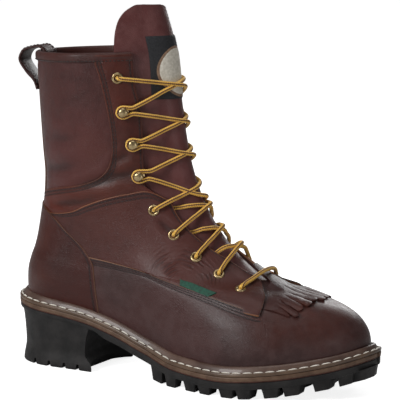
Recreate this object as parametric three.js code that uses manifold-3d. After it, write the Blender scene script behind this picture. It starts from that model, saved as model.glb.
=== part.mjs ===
// Logger boot, right foot: a lace-to-toe work boot with a stitched welt, a lugged
// sole and a high block heel. Millimetres, +Z up, toe to +X, outer side to -Y,
// origin on the floor under the middle of the heel.

import * as THREE from "three";
import Module from "manifold-3d";

const kernel = await Module();
kernel.setup();
const { Manifold, Mesh: SolidMesh } = kernel;

// Driving sizes
const bootLength = 305;       // welt, back to front
const ballWidth = 100;        // upper at the ball, where it meets the welt
const heelHeight = 54.5;      // floor to welt top at the back
const instepHeight = 110;     // floor to the throat halfway down the laces
const collarHeight = 250;     // floor to the top edge

const wall = 2.2;             // upper leather
const overlay = 1.5;          // vamp, quarters, eyestay bands
const counterLeather = 2.1;
const fit = 0.3;              // clearance between neighbouring pieces
const seam = 0.5;             // gap along a seam line
const weltWidth = 9;          // welt beyond the foot of the upper
const weltThickness = 3;
const midsoleThickness = 3.9;
const outsolePlate = 5.5;
const heelPlate = 3;
const lugDepth = 7.5;
const tongueLeather = 3;
const laceDiameter = 3.6;
const eyeletDiameter = 9;
const eyeletHole = 4.6;
const heelCentre = 0.129;     // share of length, from the welt's back to the origin

const along = (share) => share * bootLength;
const across = (share) => share * ballWidth;
const up = (share) => share * collarHeight;

// Smooth curve through a table's points that never overshoots them
function curve(at, values) {
  const last = at.length - 1;
  const steps = at.slice(1).map((x, i) => (values[i + 1] - values[i]) / (x - at[i]));
  const slopes = at.map((x, i) => {
    if (i === 0) return steps[0];
    if (i === last) return steps[last - 1];
    if (steps[i - 1] * steps[i] <= 0) return 0;
    const before = 2 * (at[i + 1] - x) + (x - at[i - 1]);
    const after = (at[i + 1] - x) + 2 * (x - at[i - 1]);
    return (before + after) / (before / steps[i - 1] + after / steps[i]);
  });
  return (x) => {
    const here = Math.min(Math.max(x, at[0]), at[last]);
    let i = 0;
    while (i < last - 1 && here > at[i + 1]) i++;
    const span = at[i + 1] - at[i];
    const t = (here - at[i]) / span;
    return values[i] * (1 + 2 * t) * (1 - t) ** 2 + slopes[i] * span * t * (1 - t) ** 2
      + values[i + 1] * t * t * (3 - 2 * t) + slopes[i + 1] * span * t * t * (t - 1);
  };
}

const smooth = (t) => {
  const c = Math.min(Math.max(t, 0), 1);
  return c * c * (3 - 2 * c);
};

// Welt top above the floor: high heel, scooped arch, flat ball, toe spring
const weltLine = curve(
  [0, 0.23, 0.33, 0.426, 0.525, 0.656, 0.787, 0.918, 1].map(along),
  [1, 0.862, 0.725, 0.538, 0.385, 0.358, 0.417, 0.55, 0.688].map((s) => s * heelHeight),
);

// Rings round the boot, level 0 at the welt and 1 at the collar; above 1 only the tongue
const ringLevels = [0, 0.06, 0.13, 0.2, 0.28, 0.36, 0.45, 0.54, 0.63, 0.73, 0.86, 1, 1.16];
const ring = {
  // back and front of each ring: shares of length from the welt's back
  backAt: [0.026, 0.027, 0.03, 0.038, 0.048, 0.056, 0.062, 0.068, 0.07, 0.063, 0.053, 0.043, 0.032],
  frontAt: [0.966, 0.96, 0.942, 0.905, 0.847, 0.763, 0.669, 0.59, 0.523, 0.479, 0.452, 0.433, 0.392],
  // their heights: shares of collar height at the back, of instep then collar height in front
  backUp: [0.218, 0.264, 0.3, 0.336, 0.372, 0.416, 0.472, 0.532, 0.6, 0.692, 0.832, 0.984, 1.136],
  instepUp: [0.34, 0.444, 0.522, 0.582, 0.625, 0.675, 0.8, 0.985],
  shaftUp: [0.548, 0.688, 0.856, 1.008, 1.168],
  // half widths at heel, waist, ball and toe: shares of ball width, outer side then inner
  heelOuter: [0.29, 0.33, 0.35, 0.35, 0.34, 0.33, 0.32, 0.32, 0.34, 0.38, 0.43, 0.46, 0.46],
  waistOuter: [0.335, 0.365, 0.38, 0.39, 0.38, 0.37, 0.36, 0.36, 0.38, 0.41, 0.45, 0.48, 0.48],
  ballOuter: [0.53, 0.55, 0.52, 0.46, 0.395, 0.34, 0.3, 0.28, 0.29, 0.32, 0.36, 0.39, 0.39],
  toeOuter: [0.45, 0.47, 0.44, 0.37, 0.29, 0.24, 0.21, 0.19, 0.19, 0.21, 0.24, 0.27, 0.27],
  heelInner: [0.29, 0.33, 0.35, 0.35, 0.34, 0.33, 0.32, 0.32, 0.34, 0.38, 0.43, 0.46, 0.46],
  waistInner: [0.265, 0.325, 0.36, 0.37, 0.37, 0.36, 0.36, 0.36, 0.38, 0.41, 0.45, 0.48, 0.48],
  ballInner: [0.46, 0.48, 0.46, 0.425, 0.375, 0.33, 0.3, 0.28, 0.29, 0.32, 0.36, 0.39, 0.39],
  toeInner: [0.4, 0.42, 0.4, 0.35, 0.29, 0.24, 0.21, 0.19, 0.19, 0.21, 0.24, 0.27, 0.27],
  // lengths of the rounded back and front: shares of length
  backRound: [0.112, 0.118, 0.118, 0.118, 0.118, 0.118, 0.125, 0.131, 0.144, 0.157, 0.177, 0.19, 0.19],
  frontRound: [0.262, 0.256, 0.236, 0.203, 0.17, 0.151, 0.131, 0.118, 0.111, 0.118, 0.131, 0.138, 0.138],
};
const widthStations = [0.12, 0.42, 0.7, 0.9]; // heel, waist, ball, toe along a ring
// Bend of the foot to the inner side at the toe, fading out up the shaft
const footBend = curve([0, 0.25, 0.5, 0.72, 1].map(along), [0, 0, -0.02, -0.01, 0.075].map(across));
const bendFades = 0.6; // level

const column = (values, unit) => curve(ringLevels, values.map((s) => s * unit));
const ringCurves = {
  back: column(ring.backAt, bootLength),
  front: column(ring.frontAt, bootLength),
  backUp: column(ring.backUp, collarHeight),
  frontUp: curve(ringLevels, [
    ...ring.instepUp.map((s) => s * instepHeight), ...ring.shaftUp.map(up)]),
  outer: [ring.heelOuter, ring.waistOuter, ring.ballOuter, ring.toeOuter].map((c) => column(c, ballWidth)),
  inner: [ring.heelInner, ring.waistInner, ring.ballInner, ring.toeInner].map((c) => column(c, ballWidth)),
  backRound: column(ring.backRound, bootLength),
  frontRound: column(ring.frontRound, bootLength),
};
const lowRise = curve([-0.06, 0, 0.06, 0.13, 0.2, 0.3],
  [-0.22, 0, 0.21, 0.4, 0.585, 0.8].map((s) => s * heelHeight)); // rings that follow the welt line
const followsWelt = 0.3; // level at which the rings become straight

// Outside of the upper: angle 0 at the back seam, +-PI in front, negative on the outer side
function onRing(angle, level) {
  const share = (1 - Math.cos(angle)) / 2;
  const back = ringCurves.back(level);
  const front = ringCurves.front(level);
  const x = back + (front - back) * share;
  const widths = (Math.sin(angle) < 0 ? ringCurves.outer : ringCurves.inner).map((w) => w(level));
  const rounded = (reach, room) => Math.sqrt(Math.max(0, 1 - Math.min(Math.max(1 - reach / room, 0), 1) ** 2));
  const halfWidth = curve(widthStations, widths)(share)
    * rounded(x - back, ringCurves.backRound(level)) * rounded(front - x, ringCurves.frontRound(level));
  const backUp = ringCurves.backUp(level);
  const straight = backUp + (ringCurves.frontUp(level) - backUp) * share;
  const blend = smooth(level / followsWelt);
  const z = (weltLine(x) + lowRise(level)) * (1 - blend) + straight * blend;
  const centre = footBend(x) * (1 - smooth(level / bendFades));
  return new THREE.Vector3(x, centre + Math.sign(Math.sin(angle)) * halfWidth, z);
}

function outward(angle, level) {
  const step = 0.004;
  const round = onRing(angle + step, level).sub(onRing(angle - step, level));
  const rise = onRing(angle, Math.min(level + step, 1.16)).sub(onRing(angle, level - step));
  return round.cross(rise).normalize().negate();
}

const lifted = (angle, level, lift) => onRing(angle, level).addScaledVector(outward(angle, level), lift);

// Solids
function solid(points, triangles) {
  let volume = 0;
  for (const [a, b, c] of triangles) volume += points[a].dot(points[b].clone().cross(points[c]));
  const faces = volume < 0 ? triangles.map(([a, b, c]) => [a, c, b]) : triangles;
  return new Manifold(new SolidMesh({
    numProp: 3,
    vertProperties: new Float32Array(points.flatMap((p) => [p.x, p.y, p.z])),
    triVerts: new Uint32Array(faces.flat()),
  }));
}

// Closed skin over rows of points; wrapped rows join the last row to the first
function skin(rows, { closedRows = false, flipFrom = rows.length } = {}) {
  const width = rows[0].length;
  const points = rows.flat();
  const triangles = [];
  const rowPairs = closedRows ? rows.length : rows.length - 1;
  for (let r = 0; r < rowPairs; r++) {
    const next = (r + 1) % rows.length;
    for (let i = 0; i < width; i++) {
      const j = (i + 1) % width;
      const [a, b, c, d] = [r * width + i, r * width + j, next * width + j, next * width + i];
      if (r >= flipFrom) triangles.push([a, b, d], [b, c, d]);
      else triangles.push([a, b, c], [a, c, d]);
    }
  }
  if (!closedRows) {
    for (const [row, turn] of [[0, true], [rows.length - 1, false]]) {
      for (let i = 1; i < width - 1; i++) {
        const fan = [row * width, row * width + i, row * width + i + 1];
        triangles.push(turn ? fan.reverse() : fan);
      }
    }
  }
  return solid(points, triangles);
}

// Prism on an outline of [first, second] pairs; "y" runs it across the boot, "z" up
function prism(outline, axis, from, to) {
  const flat = outline.map(([u, v]) => new THREE.Vector2(u, v));
  const at = (p, depth) => (axis === "y" ? new THREE.Vector3(p.x, depth, p.y) : new THREE.Vector3(p.x, p.y, depth));
  const n = flat.length;
  const points = [...flat.map((p) => at(p, from)), ...flat.map((p) => at(p, to))];
  const caps = THREE.ShapeUtils.triangulateShape(flat, []);
  const triangles = [];
  const side = THREE.ShapeUtils.isClockWise(flat) ? -1 : 1;
  for (const [a, b, c] of caps) {
    triangles.push([c, b, a], [a + n, b + n, c + n]);
  }
  for (let i = 0; i < n; i++) {
    const j = (i + 1) % n;
    if (side > 0) triangles.push([i, j, j + n], [i, j + n, i + n]);
    else triangles.push([j, i, i + n], [j, i + n, j + n]);
  }
  return solid(points, triangles);
}

const far = 400; // runs a cutting prism right through
const through = (outline) => prism(outline, "y", -far, far);
const joined = (list) => list.reduce((whole, next) => whole.add(next));

// Upper and the leather over it
const ringStations = 32;
const bodyLevels = [-0.05, 0.03, 0.09, 0.16, 0.24, 0.33, 0.43, 0.53, 0.63, 0.74, 0.87, 1];
const angles = Array.from({ length: ringStations }, (_, i) => -Math.PI + (2 * Math.PI * i) / ringStations);
const row = (level, lift) => angles.map((a) => lifted(a, level, lift));

// Place on the faceted leather: its point and the directions round, up and out of the boot there
function onLeather(angle, level, lift) {
  const turn = ((angle + Math.PI) / (2 * Math.PI)) * ringStations;
  const station = Math.floor(turn);
  const top = Math.max(1, bodyLevels.findIndex((l) => l >= level));
  const t = (level - bodyLevels[top - 1]) / (bodyLevels[top] - bodyLevels[top - 1]);
  const corner = (s, l) => lifted(-Math.PI + (2 * Math.PI * s) / ringStations, bodyLevels[l], lift);
  const [a, b, c, d] = [corner(station, top - 1), corner(station + 1, top - 1), corner(station, top), corner(station + 1, top)];
  const point = a.clone().lerp(b, turn - station).lerp(c.clone().lerp(d, turn - station), t);
  const round = b.clone().sub(a).add(d).sub(c);
  const rise = c.clone().sub(a).add(d).sub(b).normalize();
  const out = rise.clone().cross(round).normalize();
  return { point, out, rise, round: rise.clone().cross(out) };
}

// Layer between two lifts from the outside of the upper
function layer(innerLift, outerLift, levels = bodyLevels) {
  const outerRows = levels.map((level) => row(level, outerLift));
  const innerRows = levels.map((level) => row(level, innerLift)).reverse();
  return skin([...outerRows, ...innerRows], { closedRows: true, flipFrom: levels.length });
}

// Side-view lines over the upper, as [share of length, share of collar height]
const line = (pairs) => pairs.map(([s, h]) => [along(s), up(h)]);
const shifted = (points, dx, dz) => points.map(([x, z]) => [x + dx, z + dz]);
const weltSteps = 16;
const weltTop = Array.from({ length: weltSteps + 1 }, (_, i) => {
  const x = along(-0.04 + (1.08 * i) / weltSteps);
  return [x, weltLine(x)];
});
const slab = (above, below) => through([
  ...shifted(weltTop, 0, above), ...shifted(weltTop, 0, below).reverse()]);
const underWelt = slab(fit, -far / 2);

const throatEdge = line([
  [0.355, 1.1], [0.355, 1], [0.365, 0.9], [0.379, 0.82], [0.384, 0.75], [0.39, 0.65], [0.393, 0.592],
  [0.43, 0.578], [0.458, 0.545], [0.484, 0.496], [0.51, 0.463], [0.566, 0.416], [0.62, 0.387],
  [0.658, 0.362], [0.686, 0.342], [0.712, 0.33], [0.741, 0.322], [0.8, 0.36], [0.8, 1.1]]);
const throat = through(throatEdge);

const panelEdge = line([
  [0.273, 1.1], [0.273, 0.985], [0.285, 0.93], [0.304, 0.82], [0.313, 0.74], [0.313, 0.69], [0.304, 0.65],
  [0.282, 0.618], [0.241, 0.596], [0.164, 0.575], [0.09, 0.552], [-0.1, 0.53]]);
const quarterTop = line([[0.09, 0.48], [0.155, 0.491], [0.19, 0.5], [0.24, 0.528], [0.29, 0.552], [0.35, 0.572], [0.398, 0.584], [0.47, 0.595]]);
const quarterFront = line([[0.72, 0.4], [0.712, 0.33], [0.725, 0.313], [0.734, 0.285], [0.7387, 0.248]]);
const vampTop = line([[0.7387, 0.248], [0.69, 0.262], [0.633, 0.282], [0.522, 0.308], [0.43, 0.332], [0.4, 0.344], [0.319, 0.358], [0.24, 0.368]]);
const counterEdge = line([
  [-0.1, 0.53], [0.03, 0.52], [0.098, 0.497], [0.147, 0.471], [0.187, 0.434], [0.227, 0.4], [0.254, 0.367],
  [0.268, 0.33], [0.271, 0.298], [0.275, 0.25], [0.28, 0.19], [0.28, 0.1]]);

const half = seam / 2;
const behindCounter = (gap) => through([...shifted(counterEdge, gap, gap), [along(-0.1), up(0.1)]]);
const belowVampTop = (gap) => through([
  ...shifted([...quarterFront, ...vampTop.slice(1)], gap, -gap), [along(0), up(0.37)], [along(0), up(-0.08)], [along(1.2), up(-0.08)], [along(1.2), up(0.4)]]);
const belowQuarterTop = (gap) => through([
  ...shifted(quarterTop, 0, gap), [along(1.2), up(0.595)], [along(1.2), up(-0.08)], [along(0), up(-0.08)], [along(0), up(0.475)]]);
const shaftPanel = (gap) => through([...shifted(panelEdge, -gap, gap), [along(-0.1), up(1.1)]]);

const upper = layer(-wall, 0).subtract(throat).subtract(underWelt);

const cover = layer(fit, fit + overlay).subtract(throat).subtract(underWelt);
const stayHalfWidth = 11;
const staySlot = prism([
  [-far, -stayHalfWidth - seam], [along(0.2), -stayHalfWidth - seam], [along(0.2), stayHalfWidth + seam], [-far, stayHalfWidth + seam]],
  "z", up(0.4), up(1.2));
const bindingDepth = 5.7;
const underBinding = (gap) => through([
  [along(-0.1), up(0.976) - bindingDepth - gap], [along(0.5), up(1.011) - bindingDepth - gap],
  [along(0.5), 2 * far], [along(-0.1), 2 * far]]);

const outerHalf = prism([[-far, 0], [far * 2, 0], [far * 2, -far], [-far, -far]], "z", -far, far);
const innerHalf = prism([[-far, 0], [far * 2, 0], [far * 2, far], [-far, far]], "z", -far, far);

const vamp = cover.intersect(belowVampTop(half)).subtract(behindCounter(half));
const quarters = cover.intersect(belowQuarterTop(-half)).subtract(belowVampTop(-half)).subtract(behindCounter(half));
const bands = cover.subtract(belowQuarterTop(half)).subtract(behindCounter(half)).subtract(shaftPanel(0))
  .subtract(staySlot).subtract(underBinding(fit));
const counter = layer(fit, fit + counterLeather).subtract(underWelt).intersect(behindCounter(-half));
const stay = cover.subtract(behindCounter(half)).subtract(underBinding(fit)).intersect(prism([
  [-far, -stayHalfWidth], [along(0.2), -stayHalfWidth], [along(0.2), stayHalfWidth], [-far, stayHalfWidth]],
  "z", up(0.4), up(1.2)));

// Binding: folded over the top edge, flush with the lining inside
const bindingLeather = 1;
const bindingReach = 0.87; // its lower edge, as a share of the top row of the body
const binding = skin([
  ["low", fit], ["low", fit + bindingLeather], ["top", fit + bindingLeather, fit], ["top", -wall / 2, fit + 1.4 * bindingLeather],
  ["top", -wall, fit], ["top", fit, fit],
].map(([edge, lift, rise = 0]) => angles.map((a) => {
  const top = lifted(a, 1, lift);
  if (edge === "low") return lifted(a, bodyLevels.at(-2), lift).lerp(top, bindingReach);
  return top.add(new THREE.Vector3(0, 0, rise));
})), { closedRows: true }).subtract(throat);

// Tongue, its label and the kiltie
const tongueLevels = [...bodyLevels.filter((level) => level > 0.3), 1.15];
const tongueOut = -wall - fit - 0.1;
const tongueOutline = line([
  [0.32, 0.985], [0.321, 1.04], [0.33, 1.09], [0.347, 1.13], [0.37, 1.15], [0.42, 1.16], [1, 1.16], [1, 0.24],
  [0.81, 0.25], [0.78, 0.265], [0.72, 0.29], [0.66, 0.325], [0.6, 0.355], [0.54, 0.395], [0.48, 0.44], [0.43, 0.495],
  [0.375, 0.56], [0.34, 0.66], [0.325, 0.78], [0.315, 0.88]]);
const tongue = layer(tongueOut - tongueLeather, tongueOut, tongueLevels).intersect(through(tongueOutline));

const labelHalfWidth = 21;
const labelLeather = 0.8;
const label = layer(tongueOut + fit, tongueOut + fit + labelLeather, tongueLevels.slice(-4))
  .intersect(prism([
    [along(0.3), -labelHalfWidth], [along(0.7), -labelHalfWidth], [along(0.7), labelHalfWidth], [along(0.3), labelHalfWidth]],
    "z", up(0.865), up(1.05)));

// Fringe outline in plan: tips fan round the front, slits between them
function kiltieOutline() {
  const tips = 11;
  const reach = curve([0, 0.5, 1], [0.815, 0.84, 0.853].map(along));  // side tip to middle tip
  const spread = across(0.34);
  const slit = 13;
  const front = [];
  for (let i = 0; i < tips; i++) {
    const place = (offset) => {
      const t = (i + offset - (tips - 1) / 2) / (tips / 2);
      const y = spread * Math.sin((t * Math.PI) / 2);
      return [reach(1 - Math.abs(t)), y, Math.sign(t) * Math.abs(t)];
    };
    const [x0, y0] = place(-0.36);
    const [x1, y1] = place(0.36);
    const [xm, ym, lean] = place(0.5);
    front.push([x0, y0], [x1, y1]);
    if (i < tips - 1) front.push([xm - slit, ym * (1 - 0.12 * Math.abs(lean))]);
  }
  const side = across(0.43);
  const neck = across(0.075);
  const back = along(0.66);
  return [[back, -neck], [along(0.712), -neck - 1], [along(0.738), -side], [along(0.78), -side * 0.93], ...front,
    [along(0.78), side * 0.93], [along(0.738), side], [along(0.712), neck + 1], [back, neck]];
}
const kiltieLeather = 1.6;
const kiltieLift = fit + overlay + fit;
const kiltieLevels = bodyLevels.filter((level) => level > 0.06 && level < 0.6);
const kiltie = layer(kiltieLift, kiltieLift + kiltieLeather, kiltieLevels)
  .intersect(prism(kiltieOutline(), "z", up(0.2), up(0.45)));

// Side tag, sewn in along the vamp seam on the outer side
const tagLine = line([[0.517, 0.325], [0.623, 0.295], [0.606, 0.283], [0.524, 0.308]]);
const tagLift = fit + overlay + fit;
const tag = layer(tagLift, tagLift + 0.5).intersect(through(tagLine)).intersect(outerHalf);

// Pull loop: a strap folded over the back of the collar, from inside it down to the back stay
const strapWidth = 18;
const strapLeather = 2.2;
function pullLoop() {
  const foot = onLeather(0, 0.89, fit + overlay + fit + strapLeather / 2).point;
  const rim = onLeather(0, 1, fit + bindingLeather + strapLeather).point;
  const path = new THREE.CatmullRomCurve3([
    [foot.x, foot.z], [foot.x - 2.5, foot.z + 6], [foot.x - 10.5, foot.z + 14], [foot.x - 16.5, foot.z + 24],
    [rim.x - 11, rim.z], [rim.x - 3, rim.z + 3.2], [rim.x + 3.8, rim.z + 4.2], [rim.x + 8.3, rim.z + 1.4], [rim.x + 9, rim.z - 10]]
    .map(([x, z]) => new THREE.Vector3(x, 0, z)), false, "centripetal");
  const stops = 16;
  const rows = [];
  for (let i = 0; i <= stops; i++) {
    const p = path.getPoint(i / stops);
    const t = path.getTangent(i / stops);
    const out = new THREE.Vector3(-t.z, 0, t.x).multiplyScalar(strapLeather / 2);
    const half = strapWidth / 2;
    rows.push([[1, -half], [1, half], [-1, half], [-1, -half]].map(([face, y]) => p.clone().addScaledVector(out, face).setY(y)));
  }
  return skin(rows);
}

// Eyelets and hooks: places on the throat edges, as angle from the front and level
const fixings = [
  { name: "eyelet_1", fromFront: 0.88, level: 0.317 },
  { name: "eyelet_2", fromFront: 0.84, level: 0.409 },
  { name: "eyelet_3", fromFront: 0.91, level: 0.469 },
  { name: "eyelet_4", fromFront: 0.99, level: 0.537 },
  { name: "eyelet_5", fromFront: 1.07, level: 0.6 },
  { name: "hook_1", fromFront: 1.08, level: 0.684 },
  { name: "hook_2", fromFront: 1.066, level: 0.76 },
  { name: "hook_3", fromFront: 1.118, level: 0.84 },
  { name: "eyelet_6", fromFront: 1.14, level: 0.932 },
];
const sides = [{ name: "outer", sign: -1 }, { name: "inner", sign: 1 }];
const hardwareLift = fit + overlay + 3 * fit;

// Frame on the leather at a fixing: round the boot, up it, out of it
function fixingFrame({ fromFront, level }, sign) {
  const { point, out, rise, round } = onLeather(sign * (Math.PI - fromFront), level, hardwareLift);
  return new THREE.Matrix4().makeBasis(round, rise, out).setPosition(point);
}

// Turned shape: profile of [radius, height] round the frame's outward axis
function turned(profile, facets, frame) {
  const rows = Array.from({ length: facets }, (_, i) => {
    const turn = (2 * Math.PI * i) / facets;
    return profile.map(([r, h]) => new THREE.Vector3(r * Math.cos(turn), r * Math.sin(turn), h).applyMatrix4(frame));
  });
  return skin(rows, { closedRows: true });
}

const eyeletFacets = 8;
const eyelet = (frame) => turned([
  [eyeletHole / 2, 0], [eyeletDiameter / 2, 0], [(eyeletDiameter + eyeletHole) / 4, 1.1]],
  eyeletFacets, frame);

// Speed hook: washer, neck, and a head that reaches back from the throat
function hook(frame, sign) {
  const facets = 6;
  const profile = [[3.7, 0, 0], [3.4, 0.9, 0], [1.4, 1.2, 0], [1.3, 4.4, 0.4], [3.2, 4.9, 1.3], [2.9, 6, 1.6], [1.4, 6.5, 1.6]];
  return skin(profile.map(([r, h, back]) => Array.from({ length: facets }, (_, i) => {
    const turn = (2 * Math.PI * i) / facets;
    return new THREE.Vector3(r * Math.cos(turn) - sign * back, r * Math.sin(turn), h).applyMatrix4(frame);
  })));
}

// Laces: strands over the throat, from fixing to fixing
const laceFacets = 4;
function strand(points) {
  const path = new THREE.CatmullRomCurve3(points, false, "centripetal");
  const stops = points.length - 1;
  const rows = [];
  let side = new THREE.Vector3(0, 0, 1);
  for (let i = 0; i <= stops; i++) {
    const p = path.getPoint(i / stops);
    const t = path.getTangent(i / stops);
    side = side.clone().addScaledVector(t, -side.dot(t)).normalize();
    const other = t.clone().cross(side);
    rows.push(Array.from({ length: laceFacets }, (_, k) => {
      const turn = (2 * Math.PI * k) / laceFacets;
      return p.clone().addScaledVector(side, (laceDiameter / 2) * Math.cos(turn))
        .addScaledVector(other, (laceDiameter / 2) * Math.sin(turn));
    }));
  }
  return skin(rows);
}

// Lift of a strand: highest at the fixings, lower over the facings, lowest on the tongue
const fixingLift = hardwareLift + 1.1 + 2 * fit + laceDiameter / 2;
const facingLift = fit + overlay + fit + laceDiameter / 2 + 0.8;
const tongueLift = tongueOut + fit + laceDiameter / 2 + 1.7;
const labelLift = tongueLift + labelLeather + fit + 0.5;
const kiltieClear = 1.1; // more lift where a strand passes over the kiltie
// Angle from the front to the throat's edge, by level
const throatHalf = curve(
  [0.3, 0.407, 0.444, 0.485, 0.503, 0.551, 0.581, 0.623, 0.65, 0.698, 0.793, 0.842, 0.896, 1],
  [0.46, 0.46, 0.36, 0.336, 0.62, 0.72, 0.748, 0.77, 1.04, 0.976, 0.888, 0.863, 0.9, 0.895]);
const throatDip = 0.36; // angle over which a strand comes down from the edge to the tongue

function strandLift(fromFront, level, fixing) {
  const edge = throatHalf(level);
  return curve([edge - throatDip, edge, fixing], [tongueLift, facingLift, fixingLift])(fromFront);
}

// Places of a strand from fixing to fixing, its levels drawn taut over the rings;
// rise lifts the middle beyond that, as a share of the way up
function tautPlaces(from, to, sign, stations, rise = 0) {
  const places = [0, ...stations, 1].map((t) => [
    sign * (Math.PI - from.fromFront + t * (from.fromFront + to.fromFront)),
    from.level + (to.level - from.level) * t]);
  const step = 0.001;
  for (let pass = 0; pass < 80; pass++) {
    for (let i = 1; i < places.length - 1; i++) {
      const here = onRing(...places[i]);
      const up = onRing(places[i][0], places[i][1] + step).sub(here).divideScalar(step);
      const [back, on] = [places[i - 1], places[i + 1]].map((p) => onRing(...p).sub(here));
      const [m, n] = [back.length(), on.length()];
      const pull = back.normalize().add(on.normalize()).dot(up) / up.lengthSq();
      places[i][1] += (pull * m * n) / (m + n);
    }
  }
  return places.slice(1, -1).map(([angle, level], i) => [
    angle, level + rise * (to.level - from.level) * Math.sin(Math.PI * stations[i])]);
}

function crossing(places, stations, from, to, lowest = tongueLift) {
  return strand(places.map(([angle, level], i) => {
    const nearer = stations[i] < 0.5 ? from : to;
    const fromFront = Math.abs(Math.PI - Math.abs(angle));
    return lifted(angle, level, Math.max(lowest, strandLift(fromFront, level, nearer.fromFront)));
  }));
}

const byName = Object.fromEntries(fixings.map((f) => [f.name, f]));
const laces = {};
{
  const first = byName.eyelet_1;
  const wholeWay = [0.045, 0.17, 0.33, 0.5, 0.67, 0.83, 0.955];
  laces.lace_bar = strand(tautPlaces(first, first, -1, [0.06, 0.25, 0.42, 0.58, 0.75, 0.94])
    .map(([angle, level]) => lifted(angle, level, fixingLift + kiltieClear)));
  // Each rung ends under the far facing; stations stand at the throat's edges
  const rungs = [
    { from: "eyelet_2", to: "eyelet_3", stations: [0.03, 0.24, 0.48, 0.69, 0.78], lowest: 3.9 },
    { from: "eyelet_3", to: "eyelet_4", stations: [0.03, 0.28, 0.48, 0.68, 0.78], lowest: 1.3 },
    { from: "eyelet_4", to: "eyelet_5", stations: [0.03, 0.19, 0.33, 0.48, 0.64, 0.78], lowest: 1.3 },
  ];
  rungs.forEach(({ from, to, stations, lowest }, i) => {
    const ends = [byName[from], byName[to]];
    laces[`lace_cross_${i + 1}`] = joined([-1, 1].map((s) => (
      crossing(tautPlaces(...ends, s, stations), stations, ...ends, lowest))));
  });
  const ladder = ["eyelet_5", "hook_1", "hook_2", "hook_3", "eyelet_6"].map((n) => byName[n]);
  const outerRise = [-0.1, -0.02, 0.05, 0.1]; // of the strand that starts on the outer side
  const innerRise = [-0.25, -0.06, 0, 0];
  const strands = [];
  for (let i = 0; i < ladder.length - 1; i++) {
    const lowest = i === ladder.length - 2 ? labelLift : tongueLift;
    const ends = [ladder[i], ladder[i + 1]];
    for (const s of [-1, 1]) {
      const rise = (s < 0 ? outerRise : innerRise)[i];
      strands.push(crossing(tautPlaces(...ends, s, wholeWay, rise), wholeWay, ...ends, lowest));
    }
  }
  laces.lace_top = joined(strands);
}

// Sole
// Plan outline at a distance outside the foot of the upper
function footprint(offset, every = 1) {
  return angles.filter((_, i) => i % every === 0).map((a) => {
    const p = onRing(a, 0);
    const out = outward(a, -0.02);
    const flat = new THREE.Vector2(out.x, out.y).normalize();
    return [p.x + flat.x * offset, p.y + flat.y * offset];
  });
}
const plate = (offset, every) => prism(footprint(offset, every), "z", -20, far);

const weltInset = 7;
const welt = plate(weltWidth).subtract(plate(-weltInset, 2)).intersect(slab(0, -weltThickness));
const midsoleTop = -weltThickness - fit;
const midsoleBottom = midsoleTop - midsoleThickness;
const bed = plate(-weltInset - fit - 0.2, 2).intersect(slab(-0.4, -weltThickness - fit - 1));
const midsole = plate(weltWidth - 0.4).intersect(slab(midsoleTop, midsoleBottom)).add(bed);
const insoleThickness = 3;
const insole = plate(-wall - 1.2).intersect(slab(fit, fit + insoleThickness));

const outsoleTop = midsoleBottom - fit;
const breast = 0.27; // share of length
const outsoleFoot = outsoleTop - outsolePlate;
const heelTop = outsoleTop - heelPlate;
const rampStart = along(breast);
const plateFoot = weltTop.map(([x, z]) => [
  x, z + heelTop + (outsoleFoot - heelTop) * smooth((x - rampStart) / 12)]);
const outsoleSlab = through([...shifted(weltTop, 0, outsoleTop), ...plateFoot.slice().reverse()]);
const archLug = 4; // the lugs nearest the arch are this much deeper
const treadLine = (x) => Math.max(0, weltLine(x) + outsoleFoot - lugDepth
  - archLug * (1 - smooth((x - along(0.42)) / along(0.14))));

// Lug: a block tapering to its tread, let into the plate above
function lug(corners, taper) {
  const cx = corners.reduce((s, c) => s + c[0], 0) / corners.length;
  const cy = corners.reduce((s, c) => s + c[1], 0) / corners.length;
  const rows = [
    corners.map(([x, y]) => new THREE.Vector3(x, y, weltLine(x) + outsoleFoot + 1)),
    corners.map(([x, y]) => {
      const [tx, ty] = [cx + (x - cx) * taper, cy + (y - cy) * taper];
      return new THREE.Vector3(tx, ty, treadLine(tx));
    })];
  return skin(rows);
}

const edgeLugs = 10; // a side, in pairs
const lugFrom = 0.462;
const lugPitch = 0.0545;
const pairShift = 0.0044;
function outsoleLugs() {
  const edge = footprint(weltWidth - 1.4);
  const sideEdge = (sign) => {
    const pts = edge.filter(([, y]) => sign * y > 0).sort((p, q) => p[0] - q[0]);
    return curve(pts.map((p) => p[0]), pts.map((p) => p[1]));
  };
  const list = [];
  for (const sign of [-1, 1]) {
    const y = sideEdge(sign);
    for (let i = 0; i < edgeLugs; i++) {
      const x = along(lugFrom + lugPitch * i + (i % 2 ? -pairShift : pairShift));
      const long = along(i < edgeLugs - 1 ? 0.0395 : 0.03);
      const reach = across(i < 2 ? 0.12 : 0.17);
      const lean = across(0.035) * (i / edgeLugs - 0.3);
      list.push(lug([
        [x - long / 2, y(x - long / 2)], [x + long / 2, y(x + long / 2)],
        [x + long / 2 - lean, y(x + long / 2) - sign * reach], [x - long / 2 - lean, y(x - long / 2) - sign * reach]], 0.76));
    }
  }
  const centreLugs = 7;
  for (let i = 0; i < centreLugs; i++) {
    const x = along(0.5 + 0.062 * i);
    const y = (edge.filter(([px]) => Math.abs(px - x) < 12).reduce((s, p) => s + p[1], 0)) / Math.max(1, edge.filter(([px]) => Math.abs(px - x) < 12).length);
    const wide = across([0.15, 0.2, 0.24, 0.25, 0.24, 0.2, 0.14][i]);
    const long = along(0.0235);
    list.push(lug([
      [x - long, y], [x - long * 0.45, y - wide], [x + long * 0.65, y - wide],
      [x + long, y], [x + long * 0.65, y + wide], [x - long * 0.45, y + wide]], 0.86));
  }
  return list;
}
const toeLug = lug([
  [along(0.95), across(-0.16)], [along(0.988), across(-0.13)], [along(0.998), 0], [along(0.988), across(0.13)],
  [along(0.95), across(0.16)], [along(0.945), 0]], 0.9);
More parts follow.
